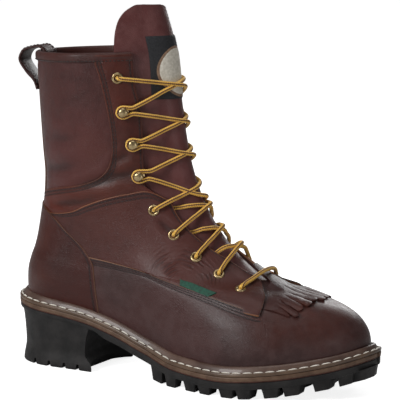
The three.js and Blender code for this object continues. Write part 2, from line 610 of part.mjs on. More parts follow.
const outsole = joined([plate(weltWidth - 0.8).intersect(outsoleSlab), ...outsoleLugs(), toeLug]);

// Heel block: flared foot, waisted middle, scooped breast and notched tread
const breastAt = [0.262, 0.262, 0.238, 0.242, 0.27];
const breastScoop = 11;
// What the scoop takes from the front of the heel block, rounded in plan
function scoopedOut() {
  const [turns, halfWidth] = [6, across(0.29)];
  return skin([-0.1, 0.08, 0.35, 0.68, 1.4].map((h, r) => Array.from({ length: turns + 1 }, (_, i) => {
    const turn = (Math.PI * i) / turns;
    return new THREE.Vector3(along(breastAt[r]) + 1 - breastScoop * Math.sin(turn), -halfWidth * Math.cos(turn),
      h * (weltLine(along(0.13)) + heelTop));
  })));
}

function heelBlock() {
  const spread = [5.4, 5.2, 3.6, 4.6, weltWidth - 1];
  const columns = 13;
  const rows = [0, 0.08, 0.35, 0.68, 1.25].map((h, r) => {
    const front = along(breastAt[r]);
    const z = h * (weltLine(along(0.13)) + heelTop);
    const side = footprint(spread[r]);
    const half = (sign) => {
      const pts = side.filter(([x, y]) => sign * y >= 0 && x < along(0.5)).sort((p, q) => p[0] - q[0]);
      return { back: pts[0][0], y: curve(pts.map((p) => p[0]), pts.map((p) => p[1])) };
    };
    const ring = [];
    const count = (columns - 1) / 2;
    for (let i = 0; i <= count; i++) {
      const s = half(-1);
      const x = front - (front - s.back) * Math.sin((i / count) * Math.PI / 2);
      ring.push(new THREE.Vector3(x, i === count ? 0 : s.y(x), z));
    }
    for (let i = count - 1; i >= 0; i--) {
      const s = half(1);
      const x = front - (front - s.back) * Math.sin((i / count) * Math.PI / 2);
      ring.push(new THREE.Vector3(x, s.y(x), z));
    }
    return ring;
  });
  return skin(rows);
}
const grooveDepth = 4;
const grooveHalf = 1.6;
const grooves = [0.045, 0.1, 0.162, 0.218].map((s) => through([
  [along(s) - grooveHalf - 0.8, -5], [along(s) + grooveHalf + 0.8, -5], [along(s) + grooveHalf - 0.5, grooveDepth], [along(s) - grooveHalf + 0.5, grooveDepth]]));
const heel = grooves.reduce((block, groove) => block.subtract(groove),
  heelBlock().subtract(scoopedOut()).intersect(through([...shifted(plateFoot, 0, -fit), ...shifted(plateFoot, 0, -far / 2).reverse()])));

// Meshes
const finishes = {
  leather: { color: "#4a241f", roughness: 0.5, metalness: 0 },
  vampLeather: { color: "#3a2220", roughness: 0.45, metalness: 0 },
  counterLeather: { color: "#45211c", roughness: 0.48, metalness: 0 },
  bandLeather: { color: "#552820", roughness: 0.5, metalness: 0 },
  lining: { color: "#5a3a2c", roughness: 0.8, metalness: 0 },
  welt: { color: "#9c8a76", roughness: 0.7, metalness: 0 },
  midsole: { color: "#6f4d35", roughness: 0.65, metalness: 0 },
  rubber: { color: "#1b1a1b", roughness: 0.75, metalness: 0 },
  brass: { color: "#b9a070", roughness: 0.3, metalness: 1 },
  lace: { color: "#c8932e", roughness: 0.75, metalness: 0 },
  patch: { color: "#17171b", roughness: 0.7, metalness: 0 },
  tag: { color: "#1f6b45", roughness: 0.7, metalness: 0 },
  insole: { color: "#6b4f3a", roughness: 0.85, metalness: 0 },
};
const materials = Object.fromEntries(Object.entries(finishes).map(([name, finish]) => [
  name, new THREE.MeshStandardMaterial({ name, ...finish })]));

const group = new THREE.Group();
group.name = "logger_boot";

function add(name, body, finish) {
  const mesh = body.getMesh();
  const geometry = new THREE.BufferGeometry();
  const points = [];
  for (let i = 0; i < mesh.numVert; i++) {
    const [x, y, z] = mesh.vertProperties.subarray(i * mesh.numProp, i * mesh.numProp + 3);
    points.push(x, y, z);
  }
  geometry.setAttribute("position", new THREE.Float32BufferAttribute(points, 3));
  geometry.setIndex(Array.from(mesh.triVerts));
  geometry.computeVertexNormals();
  const node = new THREE.Mesh(geometry, materials[finish]);
  node.name = name;
  node.position.x = -along(heelCentre);
  group.add(node);
}

add("upper", upper, "leather");
add("vamp", vamp, "vampLeather");
for (const { name, sign } of sides) {
  const side = sign < 0 ? outerHalf : innerHalf;
  add(`quarter_${name}`, quarters.intersect(side), "leather");
  add(`eyestay_${name}`, bands.intersect(side), "bandLeather");
}
add("counter", counter, "counterLeather");
add("back_stay", stay, "leather");
add("collar_binding", binding, "leather");
add("pull_loop", pullLoop(), "leather");
add("tongue", tongue, "leather");
add("tongue_label", label, "patch");
add("kiltie", kiltie, "vampLeather");
for (const [name, body] of Object.entries(laces)) add(name, body, "lace");
for (const place of fixings) {
  for (const { name, sign } of sides) {
    const frame = fixingFrame(place, sign);
    const body = place.name.startsWith("hook") ? hook(frame, sign) : eyelet(frame);
    add(`${place.name}_${name}`, body, "brass");
  }
}
add("side_tag", tag, "tag");
add("insole", insole, "insole");
add("welt", welt, "welt");
add("midsole", midsole, "midsole");
add("outsole", outsole, "rubber");
add("heel", heel, "rubber");

export default group;
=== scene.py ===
# Logger boot, right foot, dressed over its solids. Lengths in the tables are millimetres.
import math
import bpy
import numpy as np
from mathutils import Matrix, Vector


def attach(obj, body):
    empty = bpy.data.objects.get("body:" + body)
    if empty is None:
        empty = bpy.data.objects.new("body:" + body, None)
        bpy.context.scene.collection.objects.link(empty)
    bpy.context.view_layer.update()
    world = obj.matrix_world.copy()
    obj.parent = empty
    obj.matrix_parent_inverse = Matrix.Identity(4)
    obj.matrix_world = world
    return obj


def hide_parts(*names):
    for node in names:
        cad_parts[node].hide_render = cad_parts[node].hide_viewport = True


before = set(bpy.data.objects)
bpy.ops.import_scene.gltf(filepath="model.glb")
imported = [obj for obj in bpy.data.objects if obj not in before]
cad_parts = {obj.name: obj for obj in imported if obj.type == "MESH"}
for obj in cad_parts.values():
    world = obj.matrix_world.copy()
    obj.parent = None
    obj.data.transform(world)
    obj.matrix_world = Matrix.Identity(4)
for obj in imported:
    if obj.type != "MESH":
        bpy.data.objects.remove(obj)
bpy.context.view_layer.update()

pi = math.pi
print("frame loaded")

view = {"azimuth": 26.6, "elevation": 8.95, "roll": 1.12, "distance": 1838.0,
        "target": (110.66, 0.0, 120.0), "lens": 213.6, "shift": (0.0123, 0.057)}


def makeCamera():
    a, e, r = (math.radians(view[k]) for k in ("azimuth", "elevation", "roll"))
    backward = Vector((math.sin(a) * math.cos(e), -math.cos(a) * math.cos(e), math.sin(e)))
    level = Vector((math.cos(a), math.sin(a), 0))
    upward = backward.cross(level)
    right = level * math.cos(r) + upward * math.sin(r)
    top = upward * math.cos(r) - level * math.sin(r)
    camera = bpy.data.objects.new("camera", bpy.data.cameras.new("camera"))
    place = (Vector(view["target"]) + backward * view["distance"]) / 1000
    turn = Matrix((right, top, backward)).transposed().to_4x4()
    camera.matrix_world = Matrix.Translation(place) @ turn
    camera.data.lens = view["lens"]
    camera.data.sensor_width = 36
    camera.data.shift_x, camera.data.shift_y = view["shift"]
    camera.data.clip_end = 20
    bpy.context.scene.collection.objects.link(camera)
    bpy.context.scene.camera = camera


makeCamera()

boot = {"length": 305.0, "ballWidth": 100.0, "heelHeight": 54.5, "instepHeight": 110.0,
        "collarHeight": 250.0, "wall": 2.2, "overlay": 1.5, "counter": 2.1, "fit": 0.3,
        "heelCentre": 0.129, "weltWidth": 9.0}


def cubic(start, end, slopeStart, slopeEnd, span, t):  # a curve between two points with their slopes
    return (start * (1 + 2 * t) * (1 - t) ** 2 + slopeStart * span * t * (1 - t) ** 2
            + end * t * t * (3 - 2 * t) + slopeEnd * span * t * t * (t - 1))


def curveThrough(at, values):  # smooth, and never overshoots its points
    at, values = np.array(at, float), np.array(values, float)
    steps = np.diff(values) / np.diff(at)
    slopes = np.concatenate([steps[:1], np.zeros(len(at) - 2), steps[-1:]])
    for i in range(1, len(at) - 1):
        if steps[i - 1] * steps[i] > 0:
            before = 2 * (at[i + 1] - at[i]) + at[i] - at[i - 1]
            after = at[i + 1] - at[i] + 2 * (at[i] - at[i - 1])
            slopes[i] = (before + after) / (before / steps[i - 1] + after / steps[i])

    def read(x):
        here = np.clip(x, at[0], at[-1])
        i = np.clip(np.searchsorted(at, here, side="right") - 1, 0, len(at) - 2)
        span = at[i + 1] - at[i]
        t = (here - at[i]) / span
        return cubic(values[i], values[i + 1], slopes[i], slopes[i + 1], span, t)
    return read


def smooth(t):
    t = np.clip(t, 0, 1)
    return t * t * (3 - 2 * t)


def shares(values, size):
    return [v * size for v in values]


ringLevels = [0, 0.06, 0.13, 0.2, 0.28, 0.36, 0.45, 0.54, 0.63, 0.73, 0.86, 1, 1.16]
upperLow = [0.32, 0.34, 0.38, 0.43, 0.46, 0.46]
rings = {  # shares of length, of heights, of ball width, as in the solids
    "backAt": [0.026, 0.027, 0.03, 0.038, 0.048, 0.056, 0.062, 0.068, 0.07, 0.063, 0.053, 0.043, 0.032],
    "frontAt": [0.966, 0.96, 0.942, 0.905, 0.847, 0.763, 0.669, 0.59, 0.523, 0.479, 0.452, 0.433, 0.392],
    "backUp": [0.218, 0.264, 0.3, 0.336, 0.372, 0.416, 0.472, 0.532, 0.6, 0.692, 0.832, 0.984, 1.136],
    "instepUp": [0.34, 0.444, 0.522, 0.582, 0.625, 0.675, 0.8, 0.985],
    "shaftUp": [0.548, 0.688, 0.856, 1.008, 1.168],
    "outer": [
        [0.29, 0.33, 0.35, 0.35, 0.34, 0.33, 0.32] + upperLow,
        [0.335, 0.365, 0.38, 0.39, 0.38, 0.37, 0.36, 0.36, 0.38, 0.41, 0.45, 0.48, 0.48],
        [0.53, 0.55, 0.52, 0.46, 0.395, 0.34, 0.3, 0.28, 0.29, 0.32, 0.36, 0.39, 0.39],
        [0.45, 0.47, 0.44, 0.37, 0.29, 0.24, 0.21, 0.19, 0.19, 0.21, 0.24, 0.27, 0.27]],
    "inner": [
        [0.29, 0.33, 0.35, 0.35, 0.34, 0.33, 0.32] + upperLow,
        [0.265, 0.325, 0.36, 0.37, 0.37, 0.36, 0.36, 0.36, 0.38, 0.41, 0.45, 0.48, 0.48],
        [0.46, 0.48, 0.46, 0.425, 0.375, 0.33, 0.3, 0.28, 0.29, 0.32, 0.36, 0.39, 0.39],
        [0.4, 0.42, 0.4, 0.35, 0.29, 0.24, 0.21, 0.19, 0.19, 0.21, 0.24, 0.27, 0.27]],
    "backRound": [0.112, 0.118, 0.118, 0.118, 0.118, 0.118, 0.125, 0.131, 0.144, 0.157, 0.177, 0.19, 0.19],
    "frontRound": [0.262, 0.256, 0.236, 0.203, 0.17, 0.151, 0.131, 0.118, 0.111, 0.118, 0.131, 0.138, 0.138]}
widthStations = [0.12, 0.42, 0.7, 0.9]
long, wide, tall = boot["length"], boot["ballWidth"], boot["collarHeight"]
ringCurve = {
    "back": curveThrough(ringLevels, shares(rings["backAt"], long)),
    "front": curveThrough(ringLevels, shares(rings["frontAt"], long)),
    "backUp": curveThrough(ringLevels, shares(rings["backUp"], tall)),
    "frontUp": curveThrough(ringLevels, (shares(rings["instepUp"], boot["instepHeight"])
                                         + shares(rings["shaftUp"], tall))),
    "outer": [curveThrough(ringLevels, shares(c, wide)) for c in rings["outer"]],
    "inner": [curveThrough(ringLevels, shares(c, wide)) for c in rings["inner"]],
    "backRound": curveThrough(ringLevels, shares(rings["backRound"], long)),
    "frontRound": curveThrough(ringLevels, shares(rings["frontRound"], long))}
weltLine = curveThrough(
    shares([0, 0.23, 0.33, 0.426, 0.525, 0.656, 0.787, 0.918, 1], long),
    shares([1, 0.862, 0.725, 0.538, 0.385, 0.358, 0.417, 0.55, 0.688], boot["heelHeight"]))
lowRise = curveThrough([-0.06, 0, 0.06, 0.13, 0.2, 0.3],
                       shares([-0.22, 0, 0.21, 0.4, 0.585, 0.8], boot["heelHeight"]))
footBend = curveThrough(shares([0, 0.25, 0.5, 0.72, 1], long), shares([0, 0, -0.02, -0.01, 0.075], wide))


def acrossStations(share, widths):  # the same smooth curve, with its own values at every point
    at = widthStations
    gaps = [at[i + 1] - at[i] for i in range(3)]
    steps = [(widths[i + 1] - widths[i]) / gaps[i] for i in range(3)]
    slopes = [steps[0]]
    for i in (1, 2):
        before, after = 2 * gaps[i] + gaps[i - 1], gaps[i] + 2 * gaps[i - 1]
        same = steps[i - 1] * steps[i] > 0
        low = np.where(same, steps[i - 1], 1)
        high = np.where(same, steps[i], 1)
        slopes.append(np.where(same, (before + after) / (before / low + after / high), 0))
    slopes.append(steps[2])
    here = np.clip(share, at[0], at[-1])
    result = np.zeros_like(here)
    for i in range(3):
        t = (here - at[i]) / gaps[i]
        value = cubic(widths[i], widths[i + 1], slopes[i], slopes[i + 1], gaps[i], t)
        result = np.where((here >= at[i]) & (here <= at[i + 1] + 1e-9), value, result)
    return result


def ringPoint(angle, level):  # angle 0 at the back seam, +-pi in front, negative on the outer side
    angle, level = np.broadcast_arrays(np.asarray(angle, float), np.asarray(level, float))
    share = (1 - np.cos(angle)) / 2
    back, front = ringCurve["back"](level), ringCurve["front"](level)
    x = back + (front - back) * share
    outer = np.sin(angle) < 0
    widths = [np.where(outer, o(level), i(level)) for o, i in zip(ringCurve["outer"], ringCurve["inner"])]

    def rounded(reach, room):
        return np.sqrt(np.clip(1 - np.clip(1 - reach / room, 0, 1) ** 2, 0, 1))
    half = (acrossStations(share, widths) * rounded(x - back, ringCurve["backRound"](level))
            * rounded(front - x, ringCurve["frontRound"](level)))
    backUp = ringCurve["backUp"](level)
    straight = backUp + (ringCurve["frontUp"](level) - backUp) * share
    blend = smooth(level / 0.3)
    z = (weltLine(x) + lowRise(level)) * (1 - blend) + straight * blend
    centre = footBend(x) * (1 - smooth(level / 0.6))
    return np.stack([x, centre + np.sign(np.sin(angle)) * half, z], -1)


def lengthAlong(path):  # distance from the start, at every point
    return np.concatenate([[0], np.cumsum(np.linalg.norm(np.diff(path, axis=0), axis=1))])


def readAt(here, at, values):  # rows of values, read at new places
    return np.stack([np.interp(here, at, values[:, k]) for k in range(values.shape[1])], -1)


def halve(low, high, isBelow, rounds=30):  # the place where isBelow stops being true
    for _ in range(rounds):
        middle = (low + high) / 2
        below = isBelow(middle)
        low, high = np.where(below, middle, low), np.where(below, high, middle)
    return low


def unit(v):
    return v / np.maximum(np.linalg.norm(v, axis=-1, keepdims=True), 1e-9)


def outward(angle, level):
    step = 0.004
    angle, level = np.broadcast_arrays(np.asarray(angle, float), np.asarray(level, float))
    around = ringPoint(angle + step, level) - ringPoint(angle - step, level)
    rise = ringPoint(angle, np.minimum(level + step, 1.16)) - ringPoint(angle, level - step)
    return -unit(np.cross(around, rise))


# Wear folds: points are [share of length, share of collar height] in side view
# these folds also set painted shade in their troughs and a painted highlight on their ridges, in the leather
# material
folds = [
    {"path": [(0.375, 0.638), (0.33, 0.628), (0.27, 0.60), (0.20, 0.575)], "depth": 1.3, "width": 4.2},
    {"path": [(0.36, 0.70), (0.325, 0.672), (0.30, 0.635)], "depth": 0.9, "width": 3.4},
    {"path": [(0.30, 0.565), (0.22, 0.535), (0.12, 0.515)], "depth": 0.9, "width": 3.6},
    {"path": [(0.08, 0.62), (0.15, 0.635), (0.23, 0.655)], "depth": 0.8, "width": 5.0},
    {"path": [(0.10, 0.72), (0.18, 0.735), (0.26, 0.76)], "depth": 0.6, "width": 5.5},
    {"path": [(0.14, 0.80), (0.20, 0.79), (0.27, 0.80)], "depth": 0.45, "width": 4.5},
    {"path": [(0.43, 0.50), (0.46, 0.47), (0.50, 0.452)], "depth": 0.8, "width": 3.2},
]


def foldLift(points):  # how far the folds push the leather out, or in below 0
    flat = points[..., [0, 2]].reshape(-1, 2)
    total = np.zeros(len(flat))
    for fold in folds:
        path = np.array([(s * long, h * tall) for s, h in fold["path"]])
        nearest = np.full(len(flat), 1e9)
        along = np.zeros(len(flat))
        pieces = len(path) - 1
        for i in range(pieces):
            a, run = path[i], path[i + 1] - path[i]
            t = np.clip(((flat - a) @ run) / (run @ run), 0, 1)
            gap = np.linalg.norm(flat - a - t[:, None] * run, axis=1)
            closer = gap < nearest
            nearest = np.where(closer, gap, nearest)
            along = np.where(closer, (i + t) / pieces, along)
        taper = np.sin(np.clip(along, 0, 1) * pi) ** 0.6
        w = fold["width"]
        trough = np.exp(-(nearest / w) ** 2)
        ridge = np.exp(-((nearest - 2 * w) / w) ** 2)
        total += fold["depth"] * taper * (0.45 * ridge - trough)
    return total.reshape(points.shape[:-1])


def leather(angle, level, lift):  # a place at a lift above the upper's outside
    base = ringPoint(angle, level)
    lift = np.asarray(lift, float) + foldLift(base)
    return base + outward(angle, level) * lift[..., None]


def onSide(pairs):  # side-view shares of length and collar height, to (angle, level) without sign
    xz = np.array([(s * long, h * tall) for s, h in pairs])
    low, high = np.full(len(xz), -0.06), np.full(len(xz), 1.16)

    def angleAt(level):
        back, front = ringCurve["back"](level), ringCurve["front"](level)
        return np.arccos(1 - 2 * np.clip((xz[:, 0] - back) / (front - back), 0, 1))
    level = halve(low, high, lambda level: ringPoint(-angleAt(level), level)[:, 2] < xz[:, 1], 40)
    return np.stack([angleAt(level), level], 1)


def smoothLine(points, count=80):  # a soft curve through points, evenly spaced by their distance
    points = np.asarray(points, float)
    scale = np.array([38, 230] + [1] * (points.shape[1] - 2)) if points.shape[1] == 2 else 1
    at = lengthAlong(points * scale)
    slopes = np.gradient(points, at, axis=0) if len(points) > 2 else np.repeat(
        (points[1:] - points[:1]) / at[-1], 2, axis=0)
    here = np.linspace(0, at[-1], count)
    i = np.clip(np.searchsorted(at, here, side="right") - 1, 0, len(at) - 2)
    span = (at[i + 1] - at[i])[:, None]
    t = (here - at[i])[:, None] / span
    return cubic(points[i], points[i + 1], slopes[i], slopes[i + 1], span, t)


def joinLines(*lines):
    return np.concatenate([lines[0]] + [line[1:] for line in lines[1:]])


# Seam lines over the upper as (angle from the back seam, level), the same on both sides
seams = {
    "throatTop": [(2.211, 0.997), (2.204, 0.903), (2.232, 0.834), (2.205, 0.778), (2.131, 0.7),
                  (2.085, 0.66)],
    "throatLow": [(2.338, 0.628), (2.354, 0.583), (2.397, 0.556), (2.52, 0.512), (2.68, 0.478),
                  (2.76, 0.444), (2.745, 0.405)],
    "panel": [(1.755, 1.0), (1.743, 0.985), (1.776, 0.935), (1.816, 0.837), (1.812, 0.771), (1.774, 0.73),
              (1.693, 0.697), (1.554, 0.669), (1.339, 0.645), (0.936, 0.614), (0.415, 0.573),
              (0.2, 0.555)],
    "quarterTop": [(0.429, 0.471), (0.825, 0.506), (1.001, 0.528), (1.259, 0.574), (1.514, 0.608),
                   (1.815, 0.634), (2.1, 0.648), (2.338, 0.628)],
    "quarterFront": [(2.745, 0.405), (2.6, 0.368), (2.475, 0.332), (2.38, 0.285), (2.3, 0.235),
                     (2.262, 0.21)],
    "vampTop": [(1.02, 0.322), (1.28, 0.328), (1.495, 0.318), (1.6, 0.289), (1.743, 0.266), (1.95, 0.238),
                (2.08, 0.217), (2.18, 0.203), (2.245, 0.197)],
    "counter": [(0.486, 0.503), (0.775, 0.474), (0.929, 0.429), (1.045, 0.384), (1.091, 0.326),
                (1.095, 0.241), (1.09, 0.174), (1.09, 0.097), (1.094, 0.019), (1.094, -0.04)]}
throatAngle = curveThrough(*zip(*sorted(
    [(level, angle) for angle, level in seams["throatTop"] + seams["throatLow"]])))
print("shape ready")

farAway = 9.0  # mm, more than any edge or seam mark reaches

# Redder leather where it bends: share of length, share of collar height, radius, strength
pullUps = [(0.335, 0.585, 20, 1.0), (0.24, 0.56, 22, 0.7), (0.08, 0.27, 22, 0.9), (0.10, 0.42, 16, 0.5),
           (0.85, 0.27, 20, 1.0), (0.77, 0.22, 18, 0.6), (0.33, 0.86, 16, 0.6), (0.29, 0.67, 14, 0.7),
           (0.26, 0.72, 16, 0.5), (0.92, 0.2, 16, 0.6), (0.52, 0.44, 14, 0.3), (0.14, 0.87, 22, 0.4)]


def pulledUp(points):
    total = np.zeros(len(points))
    for s, h, radius, strength in pullUps:
        gap = (points[:, 0] - s * long) ** 2 + (points[:, 2] - h * tall) ** 2
        total += strength * np.exp(-gap / radius ** 2)
    return np.clip(total, 0, 1)


def makePiece(name, points, faces, materials, nodes, faceMaterials=None, corners=None, marks=None,
              crease=48):
    if marks and "rim" in marks:
        # the fold mark carries the fold lift, from which the leather material paints shade in the troughs and
        # a highlight on the ridges; warm is the pulled-up oil
        marks = {**marks, "warm": pulledUp(points), "fold": foldLift(points)}
    points = (np.asarray(points, float).reshape(-1, 3) - [boot["heelCentre"] * long, 0, 0]) / 1000
    mesh = bpy.data.meshes.new(name)
    mesh.from_pydata(points.tolist(), [], [tuple(int(i) for i in f) for f in faces])
    for material in materials if isinstance(materials, list) else [materials]:
        mesh.materials.append(material)
    if faceMaterials is not None:
        mesh.polygons.foreach_set("material_index", np.asarray(faceMaterials, np.int32))
    if corners is not None:
        mesh.uv_layers.new(name="lay").data.foreach_set("uv", np.asarray(corners, np.float32).ravel())
    for mark, values in (marks or {}).items():
        field = mesh.attributes.new(mark, "FLOAT", "POINT").data
        field.foreach_set("value", np.asarray(values, np.float32).ravel())
    mesh.shade_smooth()
    mesh.set_sharp_from_angle(angle=math.radians(crease))
    mesh.update()
    piece = bpy.data.objects.new(name, mesh)
    bpy.context.scene.collection.objects.link(piece)
    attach(piece, "root")
    if nodes:
        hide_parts(*nodes)


def noEdges(points):  # marks of a piece with no cut edge or stitch row near
    far = np.full(len(points), farAway)
    return {"rim": far, "seam": far}


def gridFaces(rows, columns, start=0, wrapRows=False, wrapColumns=False, flip=False):
    faces = []
    for r in range(rows if wrapRows else rows - 1):
        for c in range(columns if wrapColumns else columns - 1):
            a, b = r * columns + c, r * columns + (c + 1) % columns
            d, e = ((r + 1) % rows) * columns + c, ((r + 1) % rows) * columns + (c + 1) % columns
            face = (start + a, start + b, start + e, start + d)
            faces.append(face[::-1] if flip else face)
    return faces


def facesOut(points, faces, middle):  # True when the faces look away from the middle
    points = np.asarray(points).reshape(-1, 3)
    pick = faces[len(faces) // 2]
    a, b, c = (points[i] for i in pick[:3])
    return np.dot(np.cross(b - a, c - a), a - middle) > 0


def skinVolume(points, faces):
    triangles = np.array([(f[0], f[i], f[i + 1]) for f in faces for i in range(1, len(f) - 1)])
    a, b, c = (points[triangles[:, k]] for k in range(3))
    return np.einsum("ij,ij->", a, np.cross(b, c))


def closedSkin(rows):  # rows of a closed loop, with flat ends
    rows = np.asarray(rows)
    count, width = rows.shape[:2]
    faces = gridFaces(count, width, wrapColumns=True)
    faces.append(tuple(range(width))[::-1])
    faces.append(tuple(range((count - 1) * width, count * width)))
    points = rows.reshape(-1, 3)
    return points, faces if skinVolume(points, faces) > 0 else [f[::-1] for f in faces]


def joinParts(parts):  # several (points, faces) as one
    points, faces, start = [], [], 0
    for p, f in parts:
        points.append(np.asarray(p).reshape(-1, 3))
        faces += [tuple(i + start for i in face) for face in f] if start else list(f)
        start += len(points[-1])
    return np.concatenate(points), faces


def rimSteps(length, rims, inner):  # shares across, close together at both edges
    rims = np.array(rims) / np.maximum(length, 3 * rims[-1])[..., None]
    middle = rims[..., -1:] + (1 - 2 * rims[..., -1:]) * np.linspace(0, 1, inner)
    return np.concatenate([rims[..., :-1], middle, 1 - rims[..., -2::-1]], -1)


panelRims = [0, 0.12, 0.35, 0.7, 1.2, 1.9, 2.8, 4.0, 5.2]
stitchWork = []  # every row of upper stitches, made into one piece at the end


def readLine(line, t):
    return readAt(t, np.linspace(0, 1, len(line)), line)


def layPanel(name, sides, look, material, nodes):
    # sides: low and high run left to right, left and right run low to high
    low, high, left, right = [np.array(side, float) for side in sides]
    left[0], left[-1], right[0], right[-1] = low[0], high[0], low[-1], high[-1]

    def place(u, v):
        a, b = u[..., None], v[..., None]
        return ((1 - b) * readLine(low, u) + b * readLine(high, u) + (1 - a) * readLine(left, v)
                + a * readLine(right, v) - (1 - a) * (1 - b) * low[0] - a * (1 - b) * low[-1]
                - (1 - a) * b * high[0] - a * b * high[-1])
    coarse = np.linspace(0, 1, 25)
    rough = place(*np.meshgrid(coarse, coarse))
    rough = ringPoint(rough[..., 0], rough[..., 1])
    lengthU = np.linalg.norm(np.diff(rough, axis=1), axis=-1).sum(1)  # by v
    lengthV = np.linalg.norm(np.diff(rough, axis=0), axis=-1).sum(0)  # by u
    cell = look.get("cell", 2.0)
    innerU = max(6, int(lengthU.max() / cell))
    innerV = max(6, int(lengthV.max() / cell))
    u0 = rimSteps(lengthU.mean(), panelRims, innerU)
    v0 = rimSteps(lengthV.mean(), panelRims, innerV)
    U = rimSteps(np.interp(v0, coarse, lengthU), panelRims, innerU)
    V = rimSteps(np.interp(u0, coarse, lengthV), panelRims, innerV).T

    def gaps(u, v):  # distance from each side
        lu, lv = np.interp(v, coarse, lengthU), np.interp(u, coarse, lengthV)
        return {"low": v * lv, "high": (1 - v) * lv, "left": u * lu, "right": (1 - u) * lu}

    def liftAt(u, v):
        gap = gaps(u, v)
        lift = np.full(u.shape, float(look["lift"]))
        for side, (extra, reach) in look.get("sides", {}).items():
            t = u if side in ("low", "high") else v
            amount = extra(t) if callable(extra) else extra
            lift = lift + amount * (1 - smooth(gap[side] / reach))
        if "raise" in look:
            spot = place(u, v)
            lift = lift + look["raise"](spot[..., 0], spot[..., 1])
        seamGap = np.full(u.shape, farAway)
        for side, inset, start, end in look.get("stitches", []):
            t = u if side in ("low", "high") else v
            inside = (t >= start) & (t <= end)
            gapHere = np.where(inside, np.abs(gap[side] - inset), farAway)
            seamGap = np.minimum(seamGap, gapHere)
        lift = lift - 0.22 * np.exp(-(seamGap / 0.75) ** 2)
        nearest = np.minimum(np.minimum(gap["low"], gap["high"]), np.minimum(gap["left"], gap["right"]))
        soft = look.get("round", 0.9)
        lift = lift - soft * (1 - np.sqrt(1 - (1 - np.clip(nearest / soft, 0, 1)) ** 2))
        return lift, nearest, seamGap

    spot = place(U, V)
    lift, nearest, seamGap = liftAt(U, V)
    points = leather(spot[..., 0], spot[..., 1], lift)
    rows, columns = U.shape
    index = np.arange(rows * columns).reshape(rows, columns)
    loop = np.concatenate([index[0, :-1], index[:-1, -1], index[-1, :0:-1], index[:0:-1, 0]])
    edge = spot.reshape(-1, 2)[loop]
    base = leather(edge[:, 0], edge[:, 1], np.full(len(loop), look.get("base", 0.0)))
    faces = gridFaces(rows, columns)
    start, count = rows * columns, len(loop)
    for i in range(count):
        j = (i + 1) % count
        faces.append((loop[j], loop[i], start + i, start + j))
    middle = points[rows // 2, columns // 2]
    p, q = points[rows // 2, columns // 2 + 1] - middle, points[rows // 2 + 1, columns // 2] - middle
    centre = spot[rows // 2, columns // 2]
    if np.dot(np.cross(p, q), outward(centre[0], centre[1])) < 0:
        faces = [f[::-1] for f in faces]
    allPoints = np.concatenate([points.reshape(-1, 3), base])
    marks = {"rim": np.concatenate([nearest.ravel(), np.full(count, -1.0)]),
             "seam": np.concatenate([seamGap.ravel(), np.full(count, farAway)])}
    makePiece(name, allPoints, faces, material, nodes, marks=marks)

    for side, inset, begin, end in look.get("stitches", []):
        t = np.linspace(begin, end, 260)
        length = np.interp(t, coarse, lengthV if side in ("low", "high") else lengthU)
        depth = np.clip(inset / length, 0, 1)
        u, v = {"low": (t, depth), "high": (t, 1 - depth), "left": (depth, t), "right": (1 - depth, t)}[side]
        row = place(u, v)
        rowLift, _, _ = liftAt(u, v)
        stitchWork.append((leather(row[:, 0], row[:, 1], rowLift), outward(row[:, 0], row[:, 1])))


def walk(path, pitch):  # even places along a path: point, direction, and where they fall
    at = lengthAlong(path)
    count = max(2, int(at[-1] / pitch))
    here = (np.arange(count) + 0.5) * at[-1] / count
    run = unit(readAt(here + 0.3, at, path) - readAt(here - 0.3, at, path))
    return readAt(here, at, path), run, here / at[-1]


def stitchMesh(rows, look, seed=3):  # rows of (path, outward directions)
    random = np.random.default_rng(seed)
    rings, around = 5, 6
    along = np.cos(np.linspace(0, pi, rings + 2)[1:-1])
    turn = np.arange(around) * 2 * pi / around
    shape = [(-1, 0, 0)] + [(-a, math.sqrt(1 - a * a) * math.cos(t), math.sqrt(1 - a * a) * math.sin(t))
                            for a in along for t in turn] + [(1, 0, 0)]
    shape = np.array(shape) * [look["length"] / 2, look["width"] / 2, look["height"]]
    faces = [(0, 1 + (i + 1) % around, 1 + i) for i in range(around)]
    for r in range(rings - 1):
        for i in range(around):
            a, b = 1 + r * around + i, 1 + r * around + (i + 1) % around
            faces.append((a, b, b + around, a + around))
    last = 1 + rings * around
    faces += [(last, last - around + i, last - around + (i + 1) % around) for i in range(around)]
    parts = []
    for path, out in rows:
        point, run, share = walk(path, look["pitch"])
        normal = readAt(share, np.linspace(0, 1, len(out)), out)
        side = unit(np.cross(normal, run))
        normal = np.cross(run, side)
        yaw = look.get("slant", 0) + random.normal(0, 0.05, len(point))
        lean = np.cos(yaw)[:, None] * run + np.sin(yaw)[:, None] * side
        cross = np.cross(normal, lean)
        for k in range(len(point)):
            turned = (shape[:, :1] * lean[k] + shape[:, 1:2] * cross[k] + shape[:, 2:] * normal[k])
            parts.append((point[k] + normal[k] * look["sink"] + turned, faces))
    return joinParts(parts)


def slabSkin(outer, inner, bulge=0.5):  # two grids joined by rounded rims
    outer, inner = np.asarray(outer), np.asarray(inner)
    rows, columns = outer.shape[:2]
    index = np.arange(rows * columns).reshape(rows, columns)
    loop = np.concatenate([index[0, :-1], index[:-1, -1], index[-1, :0:-1], index[:0:-1, 0]])
    step = np.concatenate([index[1, :-1], index[:-1, -2], index[-2, :0:-1], index[:0:-1, 1]])
    flatOuter, flatInner = outer.reshape(-1, 3), inner.reshape(-1, 3)
    away = unit(flatOuter[loop] - flatOuter[step])
    mid = (flatOuter[loop] + flatInner[loop]) / 2 + away * bulge
    total = rows * columns
    faces = gridFaces(rows, columns) + gridFaces(rows, columns, start=total, flip=True)
    count = len(loop)
    for i in range(count):
        j = (i + 1) % count
        faces.append((loop[j], loop[i], 2 * total + i, 2 * total + j))
        faces.append((2 * total + j, 2 * total + i, total + loop[i], total + loop[j]))
    kinds = [0] * ((rows - 1) * (columns - 1)) + [1] * ((rows - 1) * (columns - 1)) + [0] * (2 * count)
    return np.concatenate([flatOuter, flatInner, mid]), faces, kinds


